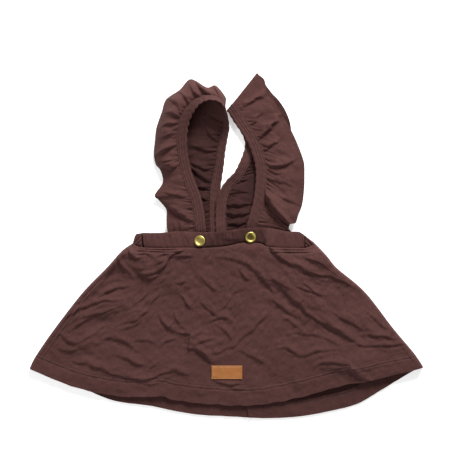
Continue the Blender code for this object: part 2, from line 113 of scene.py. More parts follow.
def finished_mesh(name, shape):
    """Mesh made from a bmesh, which is then freed."""
    mesh = bpy.data.meshes.new(name)
    shape.to_mesh(mesh)
    shape.free()
    return mesh


board = bmesh.new()
bmesh.ops.create_grid(board, x_segments=1, y_segments=1, size=3.0)
bmesh.ops.translate(board, vec=(0, 0, -BOARD_DEPTH), verts=board.verts)
floor = new_object("white_board", finished_mesh("white_board", board))
paper, _, _ = new_material("matt_white_board", {
    "Base Color": colour(WHITE_BOARD), "Roughness": 0.9,
    "Emission Color": colour(WHITE_BOARD), "Emission Strength": BOARD_GLOW})
floor.data.materials.append(paper)

softbox("key_softbox", (0.6, 1.85, 1.2), 0.8, 83)
softbox("fill_softbox", (-1.2, -1.1, 1.6), 1.4, 17)
sky = bpy.data.worlds.new("pale_room")
sky.use_nodes = True
sky.node_tree.nodes["Background"].inputs["Color"].default_value = (1, 1, 1, 1)
sky.node_tree.nodes["Background"].inputs["Strength"].default_value = ROOM_LIGHT
bpy.context.scene.world = sky
bpy.context.scene.view_settings.view_transform = "Standard"

# Back skirt panels. Two panels of sweatshirt jersey, joined by a seam down the middle of the back.
# They lie on the board with their outsides down, and their hems are turned up on the side that faces up,
# so the turned edge and its cover stitch show below the front hem.
MM = 0.001
JERSEY = 1.2
HEM_WIDTH = 21.0
SEAM_GAP = 0.3
BACK_INSET = 3.6
SEAM_CLOSED = 0.02
BACK_HEM_ROWS = (2.4, 5.6)  # the rows of stitches lie this far inside the turned edge
SEAM_STEP = 2.2  # the seam's allowances make the right panel stand this much over the left one
HEM_BACK_LEFT = [(-241.9, -154), (-215.5, -166), (-185.5, -176), (-155.5, -189), (-133, -195.5),
                 (-95.5, -200), (-65.5, -206), (-35.5, -210.5), (-5.5, -212), (27.2, -213.5)]
HEM_BACK_RIGHT = [(27.8, -215), (54.5, -216), (92, -214), (129.5, -207.5), (163, -199), (189.5, -184),
                  (219.5, -166), (241.9, -153)]
SEAM_BACK = [(0, -3.5), (14, -108), (27.5, -214)]
SIDE_LEFT = [(-116.5, 3.5), (-130.5, -6), (-149.5, -27), (-179.5, -58), (-214.5, -103), (-238, -137),
             (-245.5, -152)]
SIDE_RIGHT = [(110.5, 3), (125.5, -12.5), (138, -27.5), (173, -57.5), (208, -102.5), (234, -133.5),
              (245.5, -150.5)]


def read_curve(rows, t):
    """Points at t, from 0 to 1, of a smooth curve through the rows of a table."""
    rows = np.asarray(rows, float)
    place = np.clip(t, 0, 1) * (len(rows) - 1)
    k = np.minimum(place.astype(int), len(rows) - 2)
    f = (place - k)[:, None]
    a, b, c, d = rows[np.maximum(k - 1, 0)], rows[k], rows[k + 1], rows[np.minimum(k + 2, len(rows) - 1)]
    curve = 2 * b + (c - a) * f + (2 * a - 5 * b + 4 * c - d) * f ** 2
    return 0.5 * (curve + (3 * b - a - 3 * c + d) * f ** 3)


def path_run(points):
    """Length of a path up to each of its points."""
    return np.concatenate(([0], np.cumsum(np.linalg.norm(np.diff(points, axis=0), axis=1))))


def edge_line(rows, samples=1200):
    """Function from 0 to 1 that runs along a table's curve at an even speed."""
    points = read_curve(rows, np.linspace(0, 1, samples))
    run = path_run(points)

    def at(t):
        return np.column_stack([np.interp(np.clip(t, 0, 1) * run[-1], run, axis) for axis in points.T])
    return at


def mix(a, b, share):
    """Points that lie a share of the way from a to b."""
    return a + (b - a) * share[:, None]


def coons(top, bottom, left, right, u, v):
    """Points of the patch between four edges; v runs from top to bottom."""
    ends = np.array([0.0, 1.0])
    (top_left, top_right), (low_left, low_right) = top(ends), bottom(ends)
    corners = mix(mix(top_left, top_right, u), mix(low_left, low_right, u), v)
    return mix(top(u), bottom(u), v) + mix(left(v), right(v), u) - corners


def smooth_step(value, low, high):
    """Rises from 0 at low to 1 at high."""
    f = np.clip((value - low) / (high - low), 0, 1)
    return f * f * (3 - 2 * f)


def ridge(value, place, width):
    """Height of a soft ridge, which is 1 at its place and nearly gone two widths from it."""
    return np.exp(-((value - place) / width) ** 2)


def ripple(x, y, pitch, seed):
    """Soft uneven waves, from -1 to 1 and about a pitch apart: plane waves in unlike directions."""
    draw = np.random.default_rng(seed)
    total = np.zeros_like(x)
    for _ in range(6):
        turn, phase, stretch = draw.uniform(0, math.pi), draw.uniform(0, math.tau), draw.uniform(0.7, 1.4)
        total += np.sin(math.tau * (x * math.cos(turn) + y * math.sin(turn)) / (pitch * stretch) + phase)
    return total / 4


def right_side(u, v, facing):
    return np.zeros_like(u)


def cloth(name, columns, rows, face, back, grain, wrong_side_and_painted_shade=right_side):
    """Cloth with two sides: a grid laid on face(u, v) and its copy laid on back(u, v).

    Its UV map is the grain in metres. wrong_side_and_painted_shade(u, v, facing) is 1 where the cloth is
    drawn darkest: where it shows its wrong side, and where painted shade stands for the shadow it lies in.
    """
    slab = bmesh.new()
    bmesh.ops.create_grid(slab, x_segments=len(columns) - 1, y_segments=len(rows) - 1, size=0.5)
    raised = bmesh.ops.extrude_face_region(slab, geom=slab.faces[:])["geom"]
    over = [item for item in raised if isinstance(item, bmesh.types.BMVert)]
    bmesh.ops.translate(slab, vec=(0, 0, 1), verts=over)
    mesh = bpy.data.meshes.new(name)
    slab.to_mesh(mesh)
    spots = np.empty(len(mesh.vertices) * 3)
    mesh.vertices.foreach_get("co", spots)
    spots = spots.reshape(-1, 3)
    u = np.interp(spots[:, 0] + 0.5, np.linspace(0, 1, len(columns)), columns)
    v = np.interp(0.5 - spots[:, 1], np.linspace(0, 1, len(rows)), rows)
    outer = spots[:, 2] > 0.5
    placed = np.empty_like(spots)
    placed[outer] = face(u[outer], v[outer])
    placed[~outer] = back(u[~outer], v[~outer])
    mesh.vertices.foreach_set("co", (placed * MM).ravel())
    corner = np.empty(len(mesh.loops), int)
    mesh.loops.foreach_get("vertex_index", corner)
    mesh.uv_layers.new(name="grain").uv.foreach_set("vector", (grain(u, v)[corner] * MM).ravel())
    mesh.attributes.new("wrong_side_and_painted_shade", "FLOAT", "POINT").data.foreach_set("value", wrong_side_and_painted_shade(u, v, outer))
    slab.clear()
    slab.from_mesh(mesh)
    bmesh.ops.recalc_face_normals(slab, faces=slab.faces)
    slab.to_mesh(mesh)
    slab.free()
    mesh.shade_smooth()
    mesh.set_sharp_from_angle(angle=math.radians(70))
    return new_object(name, mesh)


# Brushed cotton jersey: a knit with fine upright ribs, matt, with a short nap that greys it a little at its
# folds. The real ribs are about 0.7 mm apart, and are drawn a little wider so that they show. Washing has
# left fine creases all over it. Where it shows its wrong side it is drawn darker: partly the duller tone of
# its open loops, mostly painted shade for the shadow inside the strap loops and under the front hem.
skirt_jersey, jersey_tree, jersey_shader = new_material("brushed_cotton_jersey", {
    "Roughness": 0.95, "Specular IOR Level": 0.15, "Sheen Weight": 0.06, "Sheen Roughness": 0.6,
    "Sheen Tint": colour("B98F88")})
grain_map = add_node(jersey_tree, "UVMap", {"uv_map": "grain"}).outputs["UV"]
RIB = 1.0 * MM
ribs = add_node(jersey_tree, "TexWave", {"Scale": 0.314 / RIB, "Distortion": 0.5, "Detail": 2.0,
                                         "Detail Scale": 3.0}, {"Vector": grain_map})
nap = add_node(jersey_tree, "TexNoise", {"Scale": 1 / (0.8 * MM), "Detail": 4.0, "Roughness": 0.7},
               {"Vector": grain_map})
fluff = add_node(jersey_tree, "TexNoise", {"Scale": 1 / (4 * MM), "Detail": 6.0, "Roughness": 0.8},
                 {"Vector": grain_map})
creases = add_node(jersey_tree, "TexNoise", {"noise_type": "RIDGED_MULTIFRACTAL", "Scale": 1 / (24 * MM),
                                             "Detail": 3.0, "Roughness": 0.6, "Distortion": 0.6},
                   {"Vector": grain_map})
wear = add_node(jersey_tree, "TexNoise", {"Scale": 1 / (32 * MM), "Detail": 3.0}, {"Vector": grain_map})
shade = add_node(jersey_tree, "Math", {"operation": "MULTIPLY_ADD", 1: 0.5, 2: -0.44},
                 {0: wear.outputs["Fac"]})
shade = add_node(jersey_tree, "Math", {"operation": "MULTIPLY_ADD", 1: 1.3},
                 {0: fluff.outputs["Fac"], 2: shade.outputs[0]})
shade = add_node(jersey_tree, "Math", {"operation": "MULTIPLY_ADD", 1: 0.15},
                 {0: ribs.outputs["Fac"], 2: shade.outputs[0]})
brown = add_node(jersey_tree, "Mix", {"data_type": "RGBA", 6: colour("3C2422"), 7: colour("593A37")},
                 {0: shade.outputs[0]})
# Painted shade: where the wrong_side_and_painted_shade attribute is 1, the brown is multiplied darker. This
# stands partly for the wrong side's duller tone, and mostly for the shadow the cloth lies in.
wrong_side_and_painted_shade = add_node(jersey_tree, "Attribute", {"attribute_name": "wrong_side_and_painted_shade"})
brown = add_node(jersey_tree, "Mix", {"data_type": "RGBA", "blend_type": "MULTIPLY", 7: colour("B9B3B3")},
                 {0: wrong_side_and_painted_shade.outputs["Fac"], 6: brown.outputs[2]})
jersey_tree.links.new(brown.outputs[2], jersey_shader.inputs["Base Color"])
relief = add_node(jersey_tree, "Math", {"operation": "MULTIPLY_ADD", 1: 0.5},
                  {0: ribs.outputs["Fac"], 2: nap.outputs["Fac"]})
wrinkled = add_node(jersey_tree, "Bump", {"Strength": 0.7, "Distance": 2.2 * MM},
                    {"Height": creases.outputs["Fac"]})
bump = add_node(jersey_tree, "Bump", {"Strength": 0.5, "Distance": 0.3 * MM},
                {"Height": relief.outputs[0], "Normal": wrinkled.outputs["Normal"]})
jersey_tree.links.new(bump.outputs["Normal"], jersey_shader.inputs["Normal"])

# Sewing thread: spun polyester, a little darker and smoother than the cloth. It sinks into the cloth, so a
# row of stitches reads as a fine dark line.
STITCH_PITCH = 2.9
STITCH_LENGTH, STITCH_WIDTH, STITCH_HEIGHT = 2.3, 0.64, 0.6
thread, thread_tree, thread_shader = new_material("spun_polyester_thread", {"Roughness": 0.6})
thread_twist = add_node(thread_tree, "TexNoise", {"Scale": 1 / (0.4 * MM), "Detail": 3.0},
                        {"Vector": add_node(thread_tree, "TexCoord").outputs["Object"]})
thread_tint = add_node(thread_tree, "Mix", {"data_type": "RGBA", 6: colour("2F1D1B"), 7: colour("47302D")},
                       {0: thread_twist.outputs["Fac"]})
thread_tree.links.new(thread_tint.outputs[2], thread_shader.inputs["Base Color"])


def finish_cloth(piece, node):
    """Puts the jersey on a piece, hangs it on the root body, and hides the part of model.glb that it stands
    for.
    """
    piece.data.materials.append(skirt_jersey)
    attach(piece, "root")
    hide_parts(node)


def sew(name, rows):
    """One object of stitches along rows. A row is a path of points on the cloth and its facing there."""
    seams, row_mesh = bmesh.new(), bpy.data.meshes.new(name + "_row")
    for points, facing in rows:
        run = path_run(points)
        row = bmesh.new()
        for place in np.arange(STITCH_PITCH / 2, run[-1], STITCH_PITCH):
            here, ahead, up = (Vector([np.interp(at, run, axis) for axis in values.T])
                               for at, values in ((place, points), (place + 0.5, points), (place, facing)))
            along = (ahead - here).normalized()
            across = up.cross(along).normalized()
            up = along.cross(across)
            half = along * STITCH_LENGTH / 2, across * STITCH_WIDTH / 2, up * STITCH_HEIGHT / 2
            turn = Matrix(half).transposed().to_4x4()
            bmesh.ops.create_uvsphere(row, u_segments=6, v_segments=4, radius=1,
                                      matrix=Matrix.Translation(here) @ turn)
        row.to_mesh(row_mesh)
        row.free()
        seams.from_mesh(row_mesh)
    bmesh.ops.scale(seams, vec=(MM, MM, MM), verts=seams.verts)
    bmesh.ops.recalc_face_normals(seams, faces=seams.faces)
    bpy.data.meshes.remove(row_mesh)
    mesh = finished_mesh(name, seams)
    mesh.shade_smooth()
    mesh.materials.append(thread)
    piece = new_object(name, mesh)
    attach(piece, "root")


def facing_up(count):
    return np.tile((0.0, 0.0, 1.0), (count, 1))


def back_panel(name, waist, hem_rows, side_rows, seam_side):
    """Makes the back panel left of the seam if seam_side is -1, or right of it if 1.

    Returns its rows of stitches.
    """
    side = edge_line(side_rows)
    seam = edge_line([(x + seam_side * SEAM_CLOSED / 2, y) for x, y in SEAM_BACK])
    top, hem = edge_line(waist), edge_line(hem_rows)
    left, right = (side, seam) if seam_side < 0 else (seam, side)

    def plan(u, v):
        return coons(top, hem, left, right, u, v)

    def face(u, v):
        spot = plan(u, v)
        length = np.linalg.norm(top(u) - hem(u), axis=1)
        from_hem = (1 - v) * length
        doubled = 1 - smooth_step(from_hem, HEM_WIDTH - 1.2, HEM_WIDTH)
        sewn = ridge(from_hem, HEM_WIDTH - np.mean(BACK_HEM_ROWS), 1.2)
        pucker = ripple(spot[:, 0], spot[:, 1] * 0.3, 11, 3) * ridge(from_hem, HEM_WIDTH, 12)
        ease = ripple(spot[:, 0], spot[:, 1] * 0.6, 19, 12) + 0.4 * ripple(*spot.T, 8, 13)
        height = JERSEY * (1 + doubled) - 0.6 * sewn * doubled + 0.35 * pucker + 0.5 * ease
        if seam_side > 0:
            height += SEAM_STEP * np.exp(-u * length / 9)
        return np.column_stack((spot, np.maximum(height, 0.8)))

    # The face is drawn darker. On the turned hem it is darkened a little, as painted shade under the front
    # hem. Above the hem it is darkened fully, as painted shade together with the wrong side's own duller
    # tone.
    def wrong_side_and_hem_shade(u, v, facing):
        from_hem = (1 - v) * np.linalg.norm(top(u) - hem(u), axis=1)
        return facing * (0.3 + 0.7 * smooth_step(from_hem, HEM_WIDTH - 1, HEM_WIDTH))

    piece = cloth(name, np.linspace(0, 1, 121), np.linspace(0, 1, 131) ** 0.7, face,
                  lambda u, v: np.column_stack((plan(u, v), np.zeros_like(u))), plan, wrong_side_and_hem_shade)
    finish_cloth(piece, name.removeprefix("cloth_"))
    u = np.linspace(0.02, 0.98, 300)
    length = np.linalg.norm(top(u) - hem(u), axis=1)
    return [(face(u, 1 - (HEM_WIDTH - inset) / length), facing_up(300)) for inset in BACK_HEM_ROWS]


side_left = [(x + BACK_INSET, y) for x, y in SIDE_LEFT[1:]]
side_right = [(x - BACK_INSET, y) for x, y in SIDE_RIGHT[1:]]
waist_left = [side_left[0], (-100, -4), SEAM_BACK[0]]
waist_right = [SEAM_BACK[0], (96, -4), side_right[0]]
back_hem = back_panel("cloth_skirt_back_left", waist_left, HEM_BACK_LEFT, side_left, -1)
back_hem += back_panel("cloth_skirt_back_right", waist_right, HEM_BACK_RIGHT, side_right, 1)
sew("stitches_back_hem", back_hem)

# Front skirt panel. One flared panel of the same jersey, hung from the waistband and lying over the back
# panels with soft folds where the cloth was smoothed by hand. Its hem is turned up inside and twin-needled.
FRONT_BAND, BACK_BAND = 3.0, 3.5  # thickness of the two waistbands
BAND_UNDER = 9.2  # height of the front waistband's underside at its middle
WAIST_MIDDLE = -2.0
WAIST_CROWN = (42, 104)  # it is that high out to the first of these from its middle, and low at the second
TUCK = 0.6  # the panel's face starts this much lower than the waistband's
WAIST_SEAM = -0.4  # gap between the two from above, so the panel goes a little under the waistband
WAIST_FALL = 45.0  # the panel falls away from the waistband's height in about this length
HEM_RISE = 5.0  # height of its face near the hem, where it lies on the back panels
HEM_WAVE = 0.9
SIDE_ROLL = 4.0  # width of the roll at its sides, where it turns down to the board
SIDE_SEAM = (8.4, 6.2)  # the left side seam is rolled to the front: its ridge and groove, from the edge
HEM_ROWS = (0.6, 4.2)  # rows of stitches, from the turned edge
WAIST_ROWS = (4.0, 8.0)  # rows of stitches, from the waistband
WAIST_SHOWN = (50, 62, 104, 112)  # from the waist's middle, where those rows come into view and go
WAIST_RUNS = ((0.045, 0.245), (0.725, 0.915))  # and where they are sewn, in shares of the width
PATCH_CENTRE = (0.5, -157.0)
PATCH_CALM = 25.0  # the patch holds the cloth flat this far from its centre
FAN_CENTRE, FAN_RADIUS, FAN_STRETCH = 100.0, 190.0, 2.6  # long wrinkles fan out from above the waist
WAIST_BOTTOM = [(-116.5, 3.5), (-111, -0.5), (-102, -2), (-77, -2.5), (-52, -2), (-27, -2.5), (-2, -0.5),
                (17, 3.5), (29.5, 4), (42, 3), (49.5, -0.5), (60.5, -2), (79.5, -2.5), (97, -2.5),
                (104.5, 0), (110.5, 3)]
HEM_FRONT = [(-245.5, -152), (-218, -164.5), (-191, -174.5), (-160.5, -182.5), (-130, -187), (-83, -187),
             (-67, -191), (-28, -196), (17, -198), (54.5, -196), (100.5, -185.5), (147, -173), (177, -168),
             (205.5, -160.5), (227, -155.5), (245.5, -150.5)]
SHOULDER_PUFF = 6.0  # the cloth puffs up under the ends of the waistband, where the back is gathered
HEM_PUFF = (1.8, 3.0)  # and stands this much higher above the hem than at it, with more at the right
# Fainter folds lie beside each fold, as the same pull made them: how far over and up, and how strong.
FOLD_ECHOES = [(-5, 6.5, 0.35), (6.5, -5.5, 0.3), (3, 12, 0.2)]
# Soft folds: start, middle and end of the dark line at the foot of each, then its rise and its width.
# The cloth stands up steeply on the left of the line and falls off slowly beyond.
FOLD_STRENGTH = 1.2
SKIRT_FOLDS = [
    (-112, -33, -99, -37, -84, -33, 2.8, 2.0), (-88, -34, -77, -26, -71, -16, 4.2, 2.8),
    (-71, -16, -63, -10, -53, -5, 3.4, 2.2), (-106, -37, -94, -41, -79, -34, 2.4, 2.2),
    (-67, -14, -54, -14, -42, -15, 2.0, 2.2), (-121, -2, -117, -14, -100, -15, 2.6, 2.0),
    (-110, -9, -99, -11, -88, -14, 1.6, 1.4), (-88, -14, -76, -11, -62, -8, 1.4, 1.4),
    (-134, -14, -131, -26, -120, -36, 2.0, 2.6), (-154, -58, -144, -56, -133, -56, 1.4, 2.2),
    (-160, -66, -143, -56, -118, -50, 2.0, 2.6), (-200, -92, -170, -74, -130, -68, 2.8, 3.0),
    (-186, -92, -158, -84, -134, -76, 1.8, 2.4), (-200, -110, -176, -95, -152, -83, 2.0, 2.8),
    (-206, -112, -194, -120, -184, -121, 2.0, 2.6), (-184, -121, -168, -112, -144, -98, 1.8, 2.8),
    (-212, -126, -198, -131, -182, -129, 1.6, 2.2), (-154, -115, -132, -118, -114, -128, 1.8, 2.6),
    (-128, -98, -111, -91, -97, -79, 2.0, 2.8), (-97, -79, -86, -65, -78, -52, 1.7, 2.4),
    (-118, -76, -104, -66, -96, -54, 1.5, 2.2), (-134, -106, -116, -100, -104, -90, 1.3, 2.0),
    (-198, -144, -168, -149, -143, -159, 2.0, 3.0), (-143, -159, -108, -167, -83, -160, 2.4, 2.8),
    (-84, -160, -65, -157, -46, -161, 2.2, 2.6), (-139, -135, -116, -145, -96, -151, 2.0, 2.6),
    (-98, -151, -91, -150, -83, -145, 1.3, 2.0), (-120, -120, -102, -118, -88, -124, 1.3, 2.2),
    (-82, -85, -76, -100, -56, -109, 2.0, 2.4), (-58, -108, -49, -110, -43, -111, 2.0, 1.8),
    (-42, -108, -47, -118, -45, -130, 3.0, 2.0), (-52, -126, -34, -132, -18, -146, 2.8, 2.6),
    (-22, -144, -19, -156, -13, -168, 1.8, 2.4), (-14, -169, 0, -172, 16, -172, 4.0, 3.0),
    (-31, -69, -23, -79, -12, -88, 1.8, 2.4), (-20, -95, -4, -90, 7, -94, 1.9, 2.0),
    (-13, -99, -2, -106, 6, -119, 1.4, 2.0), (-41, -126, -28, -119, -12, -115, 2.0, 2.2),
    (-60, -60, -50, -70, -46, -84, 1.3, 1.8), (-66, -78, -62, -92, -54, -102, 1.3, 1.8),
    (7, -128, 32, -105, 56, -81, 1.9, 3.0), (14, -130, 31, -138, 51, -148, 1.7, 2.6),
    (-8, -82, 3, -69, 18, -51, 1.2, 2.4), (16, -31, 22, -40, 32, -42, 1.4, 2.0),
    (-12, -15, 17, -20, 41, -40, 1.6, 2.8), (38, -38, 50, -48, 58, -62, 1.4, 2.2),
    (45, 9, 50, 1, 58, -6, 2.6, 2.4), (54, -6, 66, -15, 84, -24, 2.8, 2.6),
    (80, -22, 98, -31, 118, -38, 2.6, 2.8), (112, -36, 132, -40, 154, -50, 2.0, 2.8),
    (98, -16, 111, -20, 129, -30, 1.7, 2.4), (47, -42, 64, -46, 82, -55, 1.5, 2.2),
    (86, -50, 103, -57, 123, -61, 1.8, 2.4), (94, -46, 102, -51, 109, -58, 1.2, 1.8),
    (74, -60, 89, -76, 111, -92, 2.2, 3.2), (106, -88, 129, -102, 163, -122, 2.4, 3.2),
    (58, -66, 68, -78, 84, -86, 1.6, 2.4), (66, -90, 78, -94, 92, -104, 1.3, 2.2),
    (168, -111, 191, -112, 213, -115, 1.7, 2.4), (157, -124, 192, -125, 224, -122, 1.9, 2.4),
    (130, -84, 146, -92, 168, -104, 1.6, 2.4), (63, -128, 78, -130, 91, -139, 1.9, 2.4),
    (91, -139, 111, -132, 138, -129, 1.7, 2.6), (109, -149, 129, -146, 153, -148, 2.0, 2.4),
    (152, -146, 157, -159, 178, -168, 1.9, 2.6), (68, -112, 107, -112, 144, -125, 1.4, 2.6),
    (-62, -48, -56, -47, -48, -46, 1.1, 1.8), (-51, -71, -47, -75, -42, -81, 1.1, 1.8),
    (-30, -40, -22, -50, -8, -58, 1.2, 2.2), (176, -84, 188, -96, 204, -106, 1.3, 2.2),
    (-172, -72, -146, -38, -122, -8, 4.0, 11.0), (36, -38, 78, -62, 128, -96, 2.2, 11.0),
    (-66, -20, -76, -34, -92, -44, 1.2, 8.0), (-40, -116, -26, -136, -16, -152, 1.4, 8.0),
    (-196, -112, -160, -92, -116, -76, 2.6, 9.0), (-205, -133, -172, -128, -140, -112, 2.2, 9.0),
    (-118, -26, -100, -36, -84, -28, 1.6, 9.0), (60, -70, 92, -92, 128, -112, 1.0, 9.0),
    (140, -84, 168, -104, 196, -122, 1.1, 9.0), (108, -150, 150, -157, 198, -148, 2.2, 9.0),
    (-80, -124, -72, -119, -63, -116, 1.4, 1.8), (-73, -101, -68, -98, -65, -92, 1.4, 1.6),
    (-18, -135, -4, -131, 10, -124, 1.4, 2.0), (-30, -60, -38, -72, -36, -84, 1.2, 2.0),
]
# A short run of the right side seam shows inside the edge, above the hem.
SEAM_RIDGES = [(214, -121, 226, -136, 238, -150, 0.9, 1.2)]


def fold_rise(folds, x, y):
    """Height that a table of folds adds at x, y."""
    total = np.zeros_like(x)
    spot = np.column_stack((x, y))
    for x0, y0, x1, y1, x2, y2, rise, width in folds:
        t = np.linspace(0, 1, 13)[:, None]
        line = (1 - t) * (1 - 2 * t) * np.array((x0, y0)) + 4 * t * (1 - t) * np.array((x1, y1)) \
            + t * (2 * t - 1) * np.array((x2, y2))
        reach = 5 * width
        near = np.all((spot > line.min(0) - reach) & (spot < line.max(0) + reach), axis=1)
        gap = np.full(near.sum(), 1e9)
        side, place = np.zeros_like(gap), np.zeros_like(gap)
        for i, (a, b) in enumerate(zip(line, line[1:])):
            leg = b - a
            away = spot[near] - a
            f = np.clip(away @ leg / (leg @ leg), 0, 1)
            distance = np.linalg.norm(away - f[:, None] * leg, axis=1)
            closer = distance < gap
            gap[closer] = distance[closer]
            side[closer] = np.sign(leg[0] * away[closer, 1] - leg[1] * away[closer, 0])
            place[closer] = (i + f[closer]) / (len(line) - 1)
        taper = np.sin(math.pi * (0.04 + 0.92 * place)) ** 0.8 * np.exp(-(gap / (4 * width)) ** 4)
        across = side * gap / (width * (0.45 + 0.65 * np.sin(math.pi * place)))
        uphill = np.clip(across, 0, None) * np.exp(1 - np.clip(across, 0, None))
        downhill = 0.5 * np.clip(across, None, 0) * np.exp(1 + 2 * np.clip(across, None, 0))
        total[near] += rise * taper * (uphill + downhill)
    return total


def waist_height(x):
    """Height of the front waistband's face above the board, across the waist."""
    crown, side = BAND_UNDER + FRONT_BAND, BACK_BAND + SEAM_GAP + FRONT_BAND
    return side + (crown - side) * (1 - smooth_step(np.abs(x - WAIST_MIDDLE), *WAIST_CROWN))


def crumple(x, y, pitch, seed):
    """Pillows between narrow wrinkles about a pitch apart, from 0 to 1."""
    return np.sqrt(ripple(x, y, pitch, seed) ** 2 + 0.003)


def front_height(x, y):
    """Height of the front panel's face at x, y, without the stitching at its edges."""
    fall = np.exp(np.minimum(y, 0) / WAIST_FALL)
    height = HEM_RISE + (waist_height(x) - TUCK - HEM_RISE) * fall
    calm = np.hypot(x - PATCH_CENTRE[0], (y - PATCH_CENTRE[1]) * 1.6) / PATCH_CALM
    free = smooth_step(-y, -4, 5) * (1 - np.exp(-calm ** 4))
    busy = ridge(x, 10, 120) * ridge(y, -75, 60)
    drift_x, drift_y = 1.3 * ripple(x, y, 24, 31), 1.3 * ripple(x, y, 24, 33)
    height += (HEM_PUFF[0] + HEM_PUFF[1] * smooth_step(x, 60, 140)) * smooth_step(y, -200, -150)
    height += SHOULDER_PUFF * ridge(np.abs(x), 112, 42) * smooth_step(-y, 0, 9) \
        * (1 - smooth_step(-y, 6, 62))
    folds = FOLD_STRENGTH * fold_rise(SKIRT_FOLDS, x + drift_x, y + drift_y)
    for over, up, share in FOLD_ECHOES:
        folds += share * fold_rise(SKIRT_FOLDS, x - over + 2 * drift_y, y - up - 2 * drift_x)
    waves = 0.8 * ripple(x, y, 80, 5) + 0.25 * ripple(x, y, 34, 6)
    turn = np.arctan2(x, FAN_CENTRE - y) * FAN_RADIUS
    reach = np.hypot(x, FAN_CENTRE - y) / FAN_STRETCH
    wrinkles = (0.5 + 0.7 * busy) * crumple(x + 2 * drift_x, y + 2 * drift_y, 34, 7)
    wrinkles += (0.9 - 0.2 * busy) * crumple(turn + drift_x, reach + drift_y, 20, 8)
    wrinkles += (0.6 + 0.5 * busy) * crumple(x + drift_x, y + drift_y, 17, 9) + 0.45 * crumple(x, y, 9, 10)
    return height + (folds + waves + wrinkles) * free + fold_rise(SEAM_RIDGES, x, y)


waist = [(x, y - WAIST_SEAM) for x, y in WAIST_BOTTOM]
front_top, front_hem = edge_line(waist), edge_line(HEM_FRONT)
front_left = edge_line([waist[0]] + SIDE_LEFT[1:])
front_right = edge_line([waist[-1]] + SIDE_RIGHT[1:])


def front_length(u):
    """Length of the panel from waist to hem at u."""
    return np.linalg.norm(front_top(np.clip(u, 0, 1)) - front_hem(np.clip(u, 0, 1)), axis=1)


def front_spot(u, v, depth):
    """Point a depth under the front panel's face. u below 0 or above 1 is on the roll at the sides."""
    ends = np.where(u < 0.5, 0.0, 1.0)
    edges = (front_top, front_hem, front_left, front_right)
    edge = coons(*edges, ends, v)
    width = np.linalg.norm(coons(*edges, np.ones_like(v), v) - coons(*edges, np.zeros_like(v), v), axis=1)
    roll = SIDE_ROLL / width
    spot = coons(*edges, roll + (1 - 2 * roll) * np.clip(u, 0, 1), v)
    spot[:, 1] += HEM_WAVE * ripple(spot[:, 0], 0 * v, 30, 41) * smooth_step(v, 0.8, 1) \
        * smooth_step(-np.abs(spot[:, 0]), -225, -160)
    x, y = spot.T
    from_hem = (1 - v) * front_length(u)
    from_waist = v * front_length(u)
    sewn = sum(ridge(from_hem, HEM_WIDTH - inset, 0.9) for inset in HEM_ROWS)
    aside = np.abs(x - WAIST_MIDDLE)
    shown = smooth_step(aside, *WAIST_SHOWN[:2]) * (1 - smooth_step(aside, *WAIST_SHOWN[2:]))
    sewn += 3.2 * shown * sum(ridge(from_waist, inset, 1.3) for inset in WAIST_ROWS)
    sewn += 2.0 * np.exp(-from_waist / 1.2)
    doubled = 0.6 * (1 - smooth_step(from_hem, HEM_WIDTH - 1, HEM_WIDTH + 2))
    from_side = roll * width + u * (width - 2 * roll * width)
    rolled = smooth_step(v, 0.25, 0.42) * (1 - smooth_step(v, 0.86, 0.94))
    doubled += rolled * (1.3 * ridge(from_side, SIDE_SEAM[0], 0.9) - ridge(from_side, SIDE_SEAM[1], 0.9))
    pucker = ripple(x, y * 0.3, 13, 4) * ridge(from_hem, HEM_WIDTH - 4, 11)
    height = front_height(x, y) + doubled - 0.7 * sewn + 0.7 * pucker - depth
    swing = np.where(u < 0, 1 + u, np.where(u > 1, 2 - u, 1.0)) * math.pi / 2
    across = (SIDE_ROLL - (SIDE_ROLL - depth) * np.cos(swing)) / SIDE_ROLL
    plan = np.where(((u <= 0) | (u >= 1))[:, None], edge + (spot - edge) * across[:, None], spot)
    return np.column_stack((plan, height * np.sin(swing)))


def front_back(u, v):
    from_hem = (1 - v) * front_length(u)
    return front_spot(u, v, JERSEY * (2 - smooth_step(from_hem, HEM_WIDTH - 1, HEM_WIDTH)))


def front_face(u, v):
    return front_spot(u, v, np.zeros_like(u))


# Columns and rows lie closer together where the side seam, the waist and the hem are sewn.
roll_columns = np.linspace(0, 1, 9)[:-1]
face_columns = np.interp(np.arange(321), (0, 17, 320), (0, 0.026, 1))
front_columns = np.concatenate((roll_columns - 1, face_columns, 2 - roll_columns[::-1]))
front_rows = np.interp(np.arange(136), (0, 10, 108, 124, 135), (0, 0.05, 0.868, 0.926, 1))
front_panel = cloth("cloth_skirt_front", front_columns, front_rows, front_face, front_back,
                    lambda u, v: front_face(u, v)[:, :2])
finish_cloth(front_panel, "skirt_front")
front_sewing = []
for inset in HEM_ROWS:
    u = np.linspace(0.004, 0.996, 500)
    front_sewing.append((front_face(u, 1 - (HEM_WIDTH - inset) / front_length(u)), facing_up(500)))
for inset in WAIST_ROWS:
    for first, last in WAIST_RUNS:
        u = np.linspace(first, last, 80)
        front_sewing.append((front_face(u, inset / front_length(u)), facing_up(80)))
sew("stitches_skirt_front", front_sewing)

